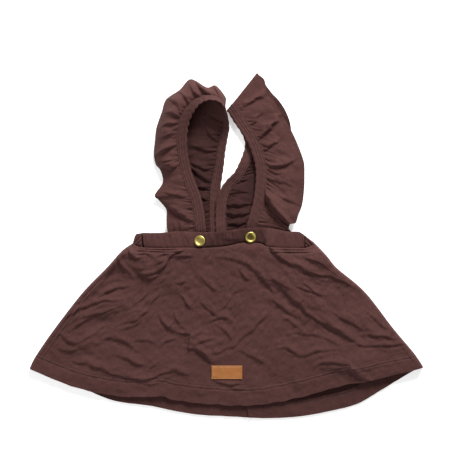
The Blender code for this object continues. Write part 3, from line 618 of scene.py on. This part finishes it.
# Back waistband. A tube of jersey with elastic inside, gathered in small even folds. Its ends come
# round the sides and are sewn to the ends of the flat front waistband.
WAIST_TOP = [(-105, 16.5), (-83, 16.5), (-62, 18.5), (-40.5, 18), (-24.5, 17.5), (-2, 19),
             (23, 22.5), (38, 23), (54.5, 22.5), (69.5, 19.5), (80.5, 18), (90, 17.8), (97, 13.6)]
BACK_BAND_TOP = [(-116, 5), (-115, 10), (-112.5, 15), (-105, 16.2), (94, 16.2), (101, 10.5), (106, 6.8),
                 (109.5, 4.2)]
GATHER_PITCH = 9.0
BAND_OVERLAP = -2.2  # lower edge of the part that is hidden under the front waistband
FRONT_BAND_END = 97.0
END_ROLLS = 5.5  # where the elastic ends it gathers the band into slanted rolls this far apart


def closer_at_ends(count):
    """Places from 0 to 1 that lie closer together at both ends."""
    return 0.5 - 0.5 * np.cos(np.linspace(0, math.pi, count))


def folded_edge(v, power, least):
    """Share of its full thickness that a folded band has at v, across it from edge to edge."""
    return np.sqrt(np.clip(1 - np.abs(2 * v - 1) ** power, least, 1))


def back_band(u, v, lift):
    """Points of the back waistband: its face if lift is 1, or its outline on the board if lift is 0."""
    x = BACK_BAND_TOP[0][0] + (BACK_BAND_TOP[-1][0] - BACK_BAND_TOP[0][0]) * u
    past = np.maximum(WAIST_TOP[0][0] - 0.1 - x, x - FRONT_BAND_END - 0.1)
    bottom = np.where(past < 0, BAND_OVERLAP, np.interp(x, *np.transpose(WAIST_BOTTOM)) - 0.7)
    y = np.interp(x, *np.transpose(BACK_BAND_TOP)) * (1 - v) + bottom * v
    gather = 0.35 * (np.cos(math.tau * (x + 0.15 * (y - 8)) / GATHER_PITCH) - 1)
    ends = smooth_step(past, 0, 0.8)
    rolls = 1.1 * np.cos(math.tau * (np.abs(x) + y) / END_ROLLS)
    level = np.where(x > 0, 1.4, 0.0)  # at the right the ends lie level, with no slit between them
    height = BACK_BAND + gather + (waist_height(x) + level - BACK_BAND + rolls) * ends
    edge = folded_edge(v, 6, 0.2 + 0.5 * ends)
    return np.column_stack((x, y, height * edge * lift))


waistband_back = cloth("cloth_waistband_back", np.linspace(0, 1, 301), closer_at_ends(17),
                       lambda u, v: back_band(u, v, 1.0), lambda u, v: back_band(u, v, 0.0),
                       lambda u, v: back_band(u, v, 0.0)[:, :2])
finish_cloth(waistband_back, "waistband_back")

# Shoulder straps. Each is one long band, folded double and topstitched, from the front waist over the
# shoulder to the back waist. A row gives the middle of the strap, the direction of its ruffled edge seen
# from above, how far that edge points down, then the ruffle's free edge beside it and the ruffle's bulge.
STRAP_WIDTH = 14.0
STRAP_CLOTH = 2.4
STRAP_LANES = (0.32, 0.54, 0.78, 0.93)  # grooves along it; the first three are sewn
TUG_PITCH, SWAY_PITCH = 8.1, 9.3  # the gathered ruffle tugs the strap about this often
STRAP_LEFT = [
    (-32.0, -1.0, 5.0, 180, 0, -69.5, 4.0, 4.5, 0),
    (-32.0, 12.0, 5.0, 180, 0, -72.0, 13.0, 4.5, 0),
    (-32.5, 20.0, 7.2, 180, 0, -74.0, 21.0, 4.4, 0),
    (-33.5, 31.0, 8.0, 182, 0, -74.5, 33.5, 3.4, 1),
    (-35.0, 43.0, 8.2, 186, 0, -75.0, 46.0, 2.6, 2),
    (-38.0, 58.0, 9.0, 195, 0, -84.0, 57.5, 6.0, 2),
    (-42.5, 70.0, 9.5, 201, 0, -89.0, 63.5, 6.5, 2),
    (-47.0, 82.0, 10.0, 200, 0, -79.0, 79.0, 4.0, 4),
    (-50.5, 92.5, 10.5, 193, 0, -82.0, 94.5, 2.0, 4),
    (-53.5, 106.0, 12.0, 186, 0, -88.0, 102.5, 4.5, 7),
    (-55.5, 121.0, 14.0, 181, 0, -90.0, 116.0, 3.0, 9),
    (-55.5, 136.0, 16.5, 178, 4, -88.5, 132.5, 2.5, 10),
    (-53.5, 150.0, 19.5, 168, 10, -86.5, 149.0, 2.5, 10),
    (-49.0, 162.0, 22.5, 155, 20, -80.0, 167.5, 2.5, 10),
    (-42.0, 172.0, 25.0, 140, 32, -75.0, 182.5, 2.5, 9),
    (-34.0, 179.0, 26.5, 122, 43, -58.0, 194.5, 3.0, 8),
    (-24.5, 182.5, 27.0, 105, 50, -44.5, 207.5, 4.0, 7),
    (-15.5, 182.0, 26.5, 85, 58, -25.0, 197.0, 4.6, 5),
    (-7.5, 178.5, 25.0, 60, 70, -13.0, 199.0, 6.5, 3),
    (-2.5, 171.5, 22.5, 15, 84, -1.0, 182.0, 4.4, 0.5),
    (-0.8, 163.5, 18.5, 180, 82, -24.0, 191.0, 1.4, 0),
    (-0.4, 155.0, 13.5, 180, 66, -45.0, 175.0, 1.3, 0),
    (-1.0, 145.0, 9.6, 182, 52, -54.0, 157.0, 1.3, 0.8),
    (-4.0, 132.5, 6.6, 184, 43, -57.5, 137.5, 1.3, 2),
    (-7.0, 117.5, 6.0, 184, 38, -58.5, 119.0, 1.3, 2),
    (-9.0, 101.0, 5.8, 184, 35, -57.5, 101.0, 1.3, 2),
    (-12.0, 85.0, 4.4, 186, 22, -56.5, 83.0, 1.3, 2),
    (-14.5, 70.0, 3.0, 184, 9, -55.0, 66.0, 1.3, 2),
    (-15.0, 54.0, 2.2, 180, 2, -54.0, 50.0, 1.3, 1.5),
    (-15.0, 36.0, 2.0, 180, 0, -53.0, 35.0, 1.3, 1),
    (-14.5, 25.0, 3.4, 180, 0, -52.0, 24.0, 1.1, 0.2),
    (-14.5, 17.5, 4.8, 180, 0, -52.0, 17.3, 1.1, 0),
    (-14.5, 11.0, 5.0, 180, 0, -52.0, 11.0, 1.1, 0),
    (-14.5, 4.0, 5.0, 180, 0, -52.0, 4.0, 1.1, 0),
]
STRAP_RIGHT = [
    (30.0, 3.0, 5.0, 0, 0, 75.0, 4.0, 4.5, 0),
    (30.5, 16.5, 5.0, 0, 0, 79.0, 13.0, 4.5, 0),
    (31.5, 24.0, 6.2, -4, 0, 80.5, 17.5, 4.5, 0),
    (34.0, 32.0, 7.0, -9, 0, 79.0, 20.0, 4.8, 1),
    (36.5, 40.5, 7.4, -13, 0, 77.5, 22.0, 5.4, 1.5),
    (39.5, 51.0, 7.8, -12, 0, 78.0, 24.5, 3.6, 0),
    (41.0, 59.0, 8.2, -9, 0, 79.5, 27.5, 7.2, 1.5),
    (42.0, 66.0, 8.3, -7, 0, 86.0, 29.0, 6.8, 1.5),
    (42.8, 73.5, 8.4, -4, 0, 89.0, 38.5, 6.4, 2),
    (43.5, 82.5, 8.4, -1, 0, 94.0, 51.0, 5.2, 2.5),
    (43.5, 94.0, 8.4, 4, 0, 96.5, 70.0, 4.8, 3),
    (42.0, 105.0, 8.4, 12, 0, 97.0, 87.5, 4.8, 3),
    (39.0, 116.0, 8.2, 19, 0, 96.5, 103.0, 5.0, 3),
    (35.0, 127.0, 8.0, 25, 0, 92.0, 117.5, 5.2, 2.5),
    (29.5, 137.5, 7.6, 30, 0, 86.0, 132.5, 5.4, 2),
    (23.0, 147.5, 7.2, 34, 0, 79.0, 146.5, 5.4, 2),
    (16.5, 157.0, 6.8, 38, 0, 69.0, 163.5, 5.6, 1.5),
    (11.5, 165.0, 6.3, 46, 0, 59.5, 179.5, 5.6, 1),
    (8.5, 169.0, 6.0, 50, 0, 50.0, 189.5, 5.6, 0.5),
    (7.9, 170.1, 5.9, 51, 0, 49.0, 198.5, 5.6, 0.2),
    (7.3, 171.1, 5.8, 51, 0, 46.8, 207.5, 5.5, 0),
    (7.0, 171.5, 5.6, 51, 0, 40.5, 213.0, 5.2, 0),
    (5.0, 173.6, 3.6, 51, 0, 38.5, 215.5, 3.3, 0),
    (7.0, 171.5, 1.5, 51, 0, 40.5, 213.0, 1.4, 0),
    (14.5, 159.5, 1.4, 40, 0, 55.0, 193.0, 1.4, 0),
    (22.5, 148.0, 1.4, 33, 0, 67.0, 179.5, 1.4, 0),
    (28.5, 136.0, 1.4, 20, 0, 75.5, 165.0, 1.4, 0),
    (30.0, 124.0, 1.6, 2, 0, 80.5, 147.5, 1.4, 0),
    (26.5, 111.0, 3.0, -14, 12, 79.5, 127.5, 1.3, 0),
    (21.0, 99.0, 4.8, -30, 25, 72.0, 107.5, 1.3, 0),
    (14.5, 87.5, 5.4, -40, 30, 60.5, 90.0, 1.3, 1),
    (6.0, 79.0, 6.2, -42, 30, 49.5, 75.0, 1.3, 1.5),
    (-0.5, 70.0, 7.0, -40, 26, 41.0, 62.5, 1.3, 1.5),
    (-4.5, 60.0, 6.8, -22, 14, 37.0, 51.0, 1.3, 1.5),
    (-6.0, 50.0, 6.0, -6, 4, 35.5, 40.0, 1.3, 1.5),
    (-6.5, 37.5, 5.6, 0, 0, 35.5, 31.0, 1.3, 1),
    (-6.5, 25.0, 6.4, 0, 0, 35.5, 24.0, 1.1, 0.2),
    (-6.5, 17.5, 7.5, 0, 0, 35.5, 17.3, 1.1, 0),
    (-6.5, 11.0, 7.7, 0, 0, 35.5, 11.0, 1.1, 0),
    (-6.5, 4.0, 7.7, 0, 0, 35.5, 4.0, 1.1, 0),
]


def strap_lie(rows, hand, t):
    """Middle of the strap, its side towards the ruffle, its face, the ruffle's edge and its bulge."""
    turn, dip = np.radians([row[3] for row in rows]), np.radians([row[4] for row in rows])
    sides = np.column_stack((np.cos(turn) * np.cos(dip), np.sin(turn) * np.cos(dip), -np.sin(dip)))
    table = np.column_stack(([row[:3] for row in rows], sides, [row[5:] for row in rows]))
    values = read_curve(table, t)
    step = 0.02 / (len(rows) - 1)
    along = read_curve(table, t + step)[:, :3] - read_curve(table, t - step)[:, :3]
    side = values[:, 3:6] / np.linalg.norm(values[:, 3:6], axis=1)[:, None]
    outward = hand * np.cross(along, side)
    outward /= np.linalg.norm(outward, axis=1)[:, None]
    return values[:, :3], side, outward, values[:, 6:9], values[:, 9]


def strap_run(rows, hand, samples=2000):
    """Places t along a strap, and the length of strap up to each."""
    t = np.linspace(0, 1, samples)
    return t, path_run(strap_lie(rows, hand, t)[0])


def even_stations(rows, hand, pitch, last):
    """Stations along a strap at an even pitch, closer where it turns over."""
    t, run = strap_run(rows, hand)
    effort = run + 12 * path_run(strap_lie(rows, hand, t)[2])
    stop = np.interp(last, t, effort)
    return np.interp(np.linspace(0, stop, int(stop / pitch)), effort, t)


def strap_skin(rows, hand, share):
    """Function for the points of a strap's face if share is 1, or of its other side if it is -1."""
    def skin(u, v):
        middle, side, outward, _, _ = strap_lie(rows, hand, u)
        run = np.interp(u, *strap_run(rows, hand))
        edge = folded_edge(v, 5, 0.12)
        grooves = sum(ridge(v * STRAP_WIDTH, lane * STRAP_WIDTH, 0.8) for lane in STRAP_LANES)
        tug = 0.3 * np.sin(math.tau * run / TUG_PITCH + 5 * v + np.sin(run / 13)) * (0.3 + 0.7 * v)
        thick = share * (edge * STRAP_CLOTH / 2 - 0.7 * grooves) + 0.5 * tug
        arch = smooth_step(middle[:, 2], 12, 20)
        sway = (0.3 + 0.4 * arch) * np.sin(math.tau * run / SWAY_PITCH + 1.2 * np.sin(run / 15)) * (1 - v)
        return middle + side * ((v - 0.5) * STRAP_WIDTH + sway)[:, None] + outward * thick[:, None]
    return skin


for label, lie, hand in (("left", STRAP_LEFT, 1), ("right", STRAP_RIGHT, -1)):
    strap = cloth("cloth_strap_" + label, even_stations(lie, hand, 1.2, 1.0), closer_at_ends(41),
                  strap_skin(lie, hand, 1.0), strap_skin(lie, hand, -1.0),
                  lambda u, v: np.column_stack((v * STRAP_WIDTH, np.interp(u, *strap_run(lie, hand)))))
    t, run = strap_run(lie, hand)
    finish_cloth(strap, "strap_" + label)
    stations = np.linspace(0.004, 0.996, 900)
    outward = strap_lie(lie, hand, stations)[2]
    strap_sewing = []
    for share in (1.0, -1.0):
        for lane in STRAP_LANES[:3]:
            row = strap_skin(lie, hand, share)(stations, np.full(900, lane))
            strap_sewing.append((row, share * outward))
    sew("stitches_strap_" + label, strap_sewing)

# Ruffles. A strip of jersey is gathered along one edge into the seam beside each strap, so it stands in
# uneven pleats at the seam and flows out in loose waves to its free edge.
RUFFLE_CLOTH = 1.2
RUFFLE_EASE = 1.5  # length of the strip for each length of seam
RUFFLE_DEPTH = 45.0
RUFFLE_ENDS_BEFORE = 2  # rows of the strap's table that are left when the ruffle ends
TURN_ROWS = 7  # rows of that table in which the ruffle turns its wrong side up, and its painted shade comes in
SEAM_TUCK = 1.2
# Folds of the ruffles seen from above, written as the skirt's are: of each front run, then its back run.
LEFT_FRONT_FOLDS = [
    (-74, 51, -60, 39, -41, 29, 2.6, 3.0), (-58, 31, -58, 25, -57, 18, 1.2, 1.6),
    (-88, 112, -76, 117, -63, 124, 2.4, 2.4), (-83, 104, -74, 104, -64, 106, 1.6, 2.4),
    (-84, 97, -72, 97, -60, 99, 3.0, 2.6), (-79, 147, -70, 149, -61, 151, 2.0, 2.6),
    (-74, 182, -63, 176, -58, 166, 2.0, 2.6), (-38, 204, -32, 193, -18, 184, 2.8, 2.6),
    (-42, 192, -36, 184, -31, 179, 1.8, 2.0), (-14, 196, -13, 192, -11, 186, 2.0, 1.6),
    (-47, 202, -43, 192, -39, 182, 1.6, 2.0), (-62, 192, -52, 183, -47, 172, 1.6, 2.2),
    (-84, 134, -72, 136, -64, 141, 1.6, 2.6), (-76, 163, -66, 162, -58, 158, 1.6, 2.4),
    (-78, 66, -64, 62, -50, 60, 1.2, 2.4), (-66, 34, -66, 27, -65, 19, 0.9, 1.4),
]
LEFT_BACK_FOLDS = [
    (-45, 103, -32, 96, -20, 95, 2.6, 3), (-44, 97, -33, 86, -18, 79, 2.8, 3),
    (-36, 73, -29, 71, -22, 69, 2.0, 2.4), (-29, 151, -20, 136, -11, 131, 2.2, 3),
    (-42, 124, -30, 119, -16, 117, 1.8, 3), (-38, 61, -30, 58, -22, 57, 1.8, 2.4),
]
RIGHT_FRONT_FOLDS = [
    (20, 173, 36, 180, 54, 192, 2.2, 2.4), (42, 133, 57, 147, 69, 164, 3.4, 3),
    (47, 118, 56, 124, 67, 133, 2.0, 2.4), (50, 101, 65, 97, 87, 107, 2.8, 3),
    (52, 83, 66, 79, 82, 74, 1.3, 3), (64, 63, 76, 55, 88, 52, 1.4, 3),
    (47, 68, 55, 49, 80, 24, 5.5, 4.0), (48, 44, 62, 33, 78, 18, 2.2, 3),
    (50, 92, 58, 90, 70, 91, 1.0, 2.4), (31, 150, 38, 156, 44, 166, 1.6, 2.2),
]
RIGHT_BACK_FOLDS = [
    (-1, 51, 12, 49, 30, 52, 3.4, 3), (-1, 39, 12, 38, 28, 41, 3.2, 3), (0, 29, 12, 26, 28, 28, 2.6, 3),
    (5, 64, 14, 66, 27, 66, 1.8, 3), (12, 78, 20, 80, 27, 84, 1.6, 2.4),
]
# Which ruffle, its strap, its hand, the row where its strap turns over, its two lists of folds, its seed.
RUFFLES = (
    ("left", STRAP_LEFT, 1, 18.5, LEFT_FRONT_FOLDS, LEFT_BACK_FOLDS, 21),
    ("right", STRAP_RIGHT, -1, 22.0, RIGHT_FRONT_FOLDS, RIGHT_BACK_FOLDS, 22),
)


def ruffle_sheet(rows, hand, u, v):
    """Points of the ruffle's middle without its gathers, from the seam at v 0 to the free edge at v 1."""
    middle, side, outward, edge, bulge = strap_lie(rows, hand, u)
    seam = middle + side * (STRAP_WIDTH / 2 - SEAM_TUCK)
    spot = seam + (edge - seam) * v[:, None]
    spot[:, 2] += bulge * 4 * v * (1 - v)
    return spot


def gathers(run, v, length, seed):
    """Depth of the gathers: notches at the seam, 3 to 7 mm apart, each with its own reach and slant."""
    draw = np.random.default_rng(seed)
    total = np.zeros_like(run)
    place = 3.0
    while place < length:
        width, depth = draw.uniform(0.8, 1.5), draw.uniform(0.6, 2.8)
        reach, slant = draw.uniform(0.06, 0.36), draw.uniform(-12, 12)
        total += depth * ridge(run, place + slant * v, width * (1 + 2 * v)) * np.exp(-v / reach)
        place += draw.uniform(2.8, 6.8)
    return total * smooth_step(v, 0, 0.05)


def ruffle_skin(rows, hand, share, turn_row, front_folds, back_folds, seed):
    """Function for the points of a ruffle's face if share is 1, or of its other side if it is -1."""
    turn_at = turn_row / (len(rows) - 1)
    t, run_of_t = strap_run(rows, hand)

    def skin(u, v):
        step = 0.15 / (len(rows) - 1)
        along = ruffle_sheet(rows, hand, u + step, v) - ruffle_sheet(rows, hand, np.maximum(u - step, 0), v)
        across = ruffle_sheet(rows, hand, u, v + 0.02) - ruffle_sheet(rows, hand, u, v - 0.02)
        normal = hand * np.cross(along, across)
        normal /= np.linalg.norm(normal, axis=1)[:, None] + 1e-9
        outward = strap_lie(rows, hand, u)[2]
        normal = mix(outward, normal, smooth_step(v, 0, 0.1))
        normal /= np.linalg.norm(normal, axis=1)[:, None]
        run = np.interp(u, t, run_of_t)
        flow = np.sin(math.tau * run / 23 + 1.3 * np.sin(run / 31))
        flow += 0.6 * np.sin(math.tau * run / 14 + 1.7)
        front = smooth_step(turn_at - u, 0.0, 0.03)
        back = smooth_step(u - turn_at, 0.03, 0.08)
        flat = ruffle_sheet(rows, hand, u, v)
        drift = 1.5 * ripple(flat[:, 0], flat[:, 1], 15, seed)
        x, y = flat[:, 0] + drift, flat[:, 1] - drift
        lift = 1.5 * front * fold_rise(front_folds, x, y) + 1.3 * back * fold_rise(back_folds, x, y)
        lift += (0.4 * front + 0.35 * back) * flow * smooth_step(v, 0.05, 0.5)
        lift -= (front + back) * gathers(run, v, run_of_t[-1], seed)
        lift += 0.7 * crumple(x, y, 18, seed + 5) * smooth_step(v, 0.1, 0.4)
        spot = flat + normal * (share * RUFFLE_CLOTH / 2)
        spot[:, 2] = np.maximum(spot[:, 2] + lift, 0.0)
        return spot
    return skin


# Past the turn, each ruffle's underside is drawn darker. This is partly its wrong side's own tone, and
# mostly painted shade for the shadow inside the strap's loop.
for label, lie, hand, turn_row, front_folds, back_folds, seed in RUFFLES:
    last = 1 - RUFFLE_ENDS_BEFORE / (len(lie) - 1)
    folds = (turn_row, front_folds, back_folds, seed)
    down_ruffle = np.linspace(0, 1, 46) ** 1.3
    ruffle = cloth("cloth_ruffle_" + label, even_stations(lie, hand, 0.8, last), down_ruffle,
                   ruffle_skin(lie, hand, 1.0, *folds), ruffle_skin(lie, hand, -1.0, *folds),
                   lambda u, v: np.column_stack((RUFFLE_EASE * np.interp(u, *strap_run(lie, hand)),
                                                 RUFFLE_DEPTH * v)),
                   lambda u, v, facing: (1.0 - facing) * smooth_step(u * (len(lie) - 1), turn_row,
                                                                     turn_row + TURN_ROWS))
    finish_cloth(ruffle, "ruffle_" + label)

# Front waistband. A straight band of jersey, folded double and sewn on flat, with its ends
# joined to the gathered back waistband. The snaps' caps are pressed through it.
# Creases across it are written as the skirt's folds are.
BAND_TIP = 8.0  # the straps' ends lift its top edge this much over its lower edge
BAND_FOLDS = [
    (-1, 17, -1, 12, 0, 6, 0.7, 1.6), (51, 21, 48, 12, 46, 6, 1.0, 2), (-53, 17, -50, 9, -47, 2, 0.6, 2),
    (-101, 15, -101, 7, -103, 0, 0.8, 1.6), (14, 19, 13, 12, 15, 5, 0.5, 2),
    (6, 20, 8, 12, 7, 3, 0.6, 1.6), (-6, 9, 6, 7, 18, 8, 0.5, 1.8), (-64, 17, -66, 10, -65, 3, 0.4, 2),
    (-20, 16, -22, 9, -21, 2, 0.5, 2),
    (96, 13, 95, 7, 96, 1, 0.8, 1.8), (74, 18, 72, 10, 73, 1, 0.3, 2), (-80, 16, -82, 9, -81, 1, 0.3, 2),
]


def front_band(share):
    """Function for the points of the band's face if share is 1, or of its other side if it is -1."""
    top = edge_line(WAIST_TOP)
    bottom = edge_line([row for row in WAIST_BOTTOM if WAIST_TOP[0][0] <= row[0] <= FRONT_BAND_END])

    def skin(u, v):
        place = mix(top(u), bottom(u), v)
        x, y = place.T
        edge = folded_edge(v, 6, 0.2)
        drag = 1.4 * fold_rise(BAND_FOLDS, x, y) + 0.7 * ripple(x, y * 0.3, 17, 11)
        drag += 0.35 * ripple(x, y * 0.4, 7, 12)
        tip = BAND_TIP * (0.5 - v) * smooth_step(x, -48, -14) * (1 - smooth_step(x, 44, 52))
        to_end = np.minimum(x - WAIST_TOP[0][0], FRONT_BAND_END - x)
        pinch = 0.2 * np.exp(-to_end / 1.5) + 0.4 * np.exp(-to_end / 6) * np.cos(math.tau * to_end / 3.6)
        height = waist_height(x) - FRONT_BAND / 2 + tip + share * edge * FRONT_BAND / 2
        return np.column_stack((place, height + (drag - pinch) * edge * (share > 0)))
    return skin


waistband_front = cloth("cloth_waistband_front", np.linspace(0, 1, 301), closer_at_ends(33),
                        front_band(1.0), front_band(-1.0), lambda u, v: front_band(0.0)(u, v)[:, :2])
finish_cloth(waistband_front, "waistband_front")

# Snaps. Each cap is pressed from thin brass and plated gold, with a raised rim round a dished middle. The
# dish is painted darker than the rim, much more on the right cap than on the left. This is painted shade
# and reflection for how each cap faces the lamps. The straps pull the caps to unlike angles. A row gives a
# cap's place, how far it leans to the right and to the top of the picture in degrees, and how much painted
# shade its dish takes.
DISH = (3.6, 4.8)  # radii between which the dish's painted shade gives way to the bright plating
SNAPS = {"left": (-33.0, 6.5, -4, 9, 0.35), "right": (30.0, 11.0, 5, 1, 1.0)}
brass, brass_tree, brass_shader = new_material("pressed_gold_plated_brass", {"Metallic": 1.0})
metal_spot = add_node(brass_tree, "TexCoord").outputs["Object"]
scuffs = add_node(brass_tree, "TexNoise", {"Scale": 1 / (1.5 * MM), "Detail": 5.0}, {"Vector": metal_spot})
gloss = add_node(brass_tree, "MapRange", {"To Min": 0.34, "To Max": 0.50}, {"Value": scuffs.outputs["Fac"]})
brass_tree.links.new(gloss.outputs["Result"], brass_shader.inputs["Roughness"])
plating = add_node(brass_tree, "Mix", {"data_type": "RGBA", 6: colour("B7A052"), 7: colour("CDBB72")},
                   {0: scuffs.outputs["Fac"]})
# Painted shade and reflection: the dish's colour is mixed towards dark gold.
dish_shade = add_node(brass_tree, "Attribute", {"attribute_name": "dish_shade"})
cap_colour_and_shade = add_node(brass_tree, "Mix", {"data_type": "RGBA", 7: colour("6F5F30")},
                    {0: dish_shade.outputs["Fac"], 6: plating.outputs[2]})
brass_tree.links.new(cap_colour_and_shade.outputs[2], brass_shader.inputs["Base Color"])


def turned_metal(name, profile, place, lean, painted_dish_shade):
    """A round piece, spun from a profile of radius and height, then leant over and put in its place."""
    disc = bmesh.new()
    verts = [disc.verts.new((radius, 0, height)) for radius, height in profile]
    edges = [disc.edges.new(pair) for pair in zip(verts, verts[1:])]
    bmesh.ops.spin(disc, geom=verts + edges, cent=(0, 0, 0), axis=(0, 0, 1), angle=math.tau, steps=64,
                   use_merge=True)
    bmesh.ops.remove_doubles(disc, verts=disc.verts, dist=0.001)
    bmesh.ops.recalc_face_normals(disc, faces=disc.faces)
    radii = np.array([math.hypot(vert.co.x, vert.co.y) for vert in disc.verts])
    over = Matrix.Rotation(math.radians(lean[0]), 3, "Y") @ Matrix.Rotation(math.radians(-lean[1]), 3, "X")
    bmesh.ops.rotate(disc, cent=(0, 0, 0), matrix=over, verts=disc.verts)
    bmesh.ops.translate(disc, vec=place, verts=disc.verts)
    bmesh.ops.scale(disc, vec=(MM, MM, MM), verts=disc.verts)
    mesh = finished_mesh(name, disc)
    # Painted shade in the dish, set by each cap's share and fading out towards the rim.
    dish_shade_layer = mesh.attributes.new("dish_shade", "FLOAT", "POINT")
    dish_shade_layer.data.foreach_set("value", painted_dish_shade * (1 - smooth_step(radii, *DISH)))
    mesh.shade_smooth()
    mesh.set_sharp_from_angle(angle=math.radians(50))
    mesh.materials.append(brass)
    return new_object(name, mesh)


CAP = [(0, 1.15), (1.5, 1.15), (3.0, 1.2), (4.0, 1.35), (4.7, 1.75), (5.4, 2.0), (6.0, 1.95), (6.5, 1.6),
       (6.9, 0.9), (7.0, 0.3), (6.9, 0), (0, 0)]
for label, (x, y, right, up, painted_dish_shade) in SNAPS.items():
    on_band = float(waist_height(np.array([x]))[0]) + 2 * SEAM_GAP
    cap = turned_metal("cap_" + label, CAP, (x, y, on_band), (right, up), painted_dish_shade)
    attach(cap, "root")
    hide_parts("snap_cap_" + label)
    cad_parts["snap_stud_" + label].data.materials.clear()
    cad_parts["snap_stud_" + label].data.materials.append(brass)

# Patch. A bare piece of smooth tan leather, pressed with a thin border line and sewn on near the hem.
PATCH_SIZE = (38.4, 16.8)
PATCH_LEATHER = 1.4
BORDER_LINE = 1.9  # the pressed line lies this far inside the edge
leather, leather_tree, leather_shader = new_material("smooth_tan_leather", {"Roughness": 0.55})
hide = add_node(leather_tree, "TexCoord").outputs["Object"]
pores = add_node(leather_tree, "TexVoronoi", {"Scale": 1 / (0.8 * MM)}, {"Vector": hide})
cloudy = add_node(leather_tree, "TexNoise", {"Scale": 1 / (7 * MM), "Detail": 5.0}, {"Vector": hide})
leather_tint = add_node(leather_tree, "Mix",
                        {"data_type": "RGBA", 6: colour("8E5525"), 7: colour("AB6E33")},
                        {0: cloudy.outputs["Fac"]})
leather_tree.links.new(leather_tint.outputs[2], leather_shader.inputs["Base Color"])
leather_bump = add_node(leather_tree, "Bump", {"Strength": 0.25, "Distance": 0.15 * MM},
                        {"Height": pores.outputs["Distance"]})
leather_tree.links.new(leather_bump.outputs["Normal"], leather_shader.inputs["Normal"])


def patch_skin(lift):
    """Function for the points of the patch: its face if lift is 1, or its underside if lift is 0."""
    def skin(u, v):
        x = PATCH_CENTRE[0] + (u - 0.5) * PATCH_SIZE[0]
        y = PATCH_CENTRE[1] + (0.5 - v) * PATCH_SIZE[1]
        to_side, to_end = (0.5 - np.abs(v - 0.5)) * PATCH_SIZE[1], (0.5 - np.abs(u - 0.5)) * PATCH_SIZE[0]
        border = np.minimum(to_side, to_end)
        pressed = 0.35 * ridge(border, BORDER_LINE, 0.35) + 0.5 * ridge(border, 0, 0.4)
        return np.column_stack((x, y, front_height(x, y) + SEAM_GAP + lift * (PATCH_LEATHER - pressed)))
    return skin


patch = cloth("leather_patch", np.linspace(0, 1, 129), np.linspace(0, 1, 65), patch_skin(1.0),
              patch_skin(0.0), lambda u, v: patch_skin(0.0)(u, v)[:, :2])
patch.data.materials.append(leather)
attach(patch, "root")
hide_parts("label_patch")
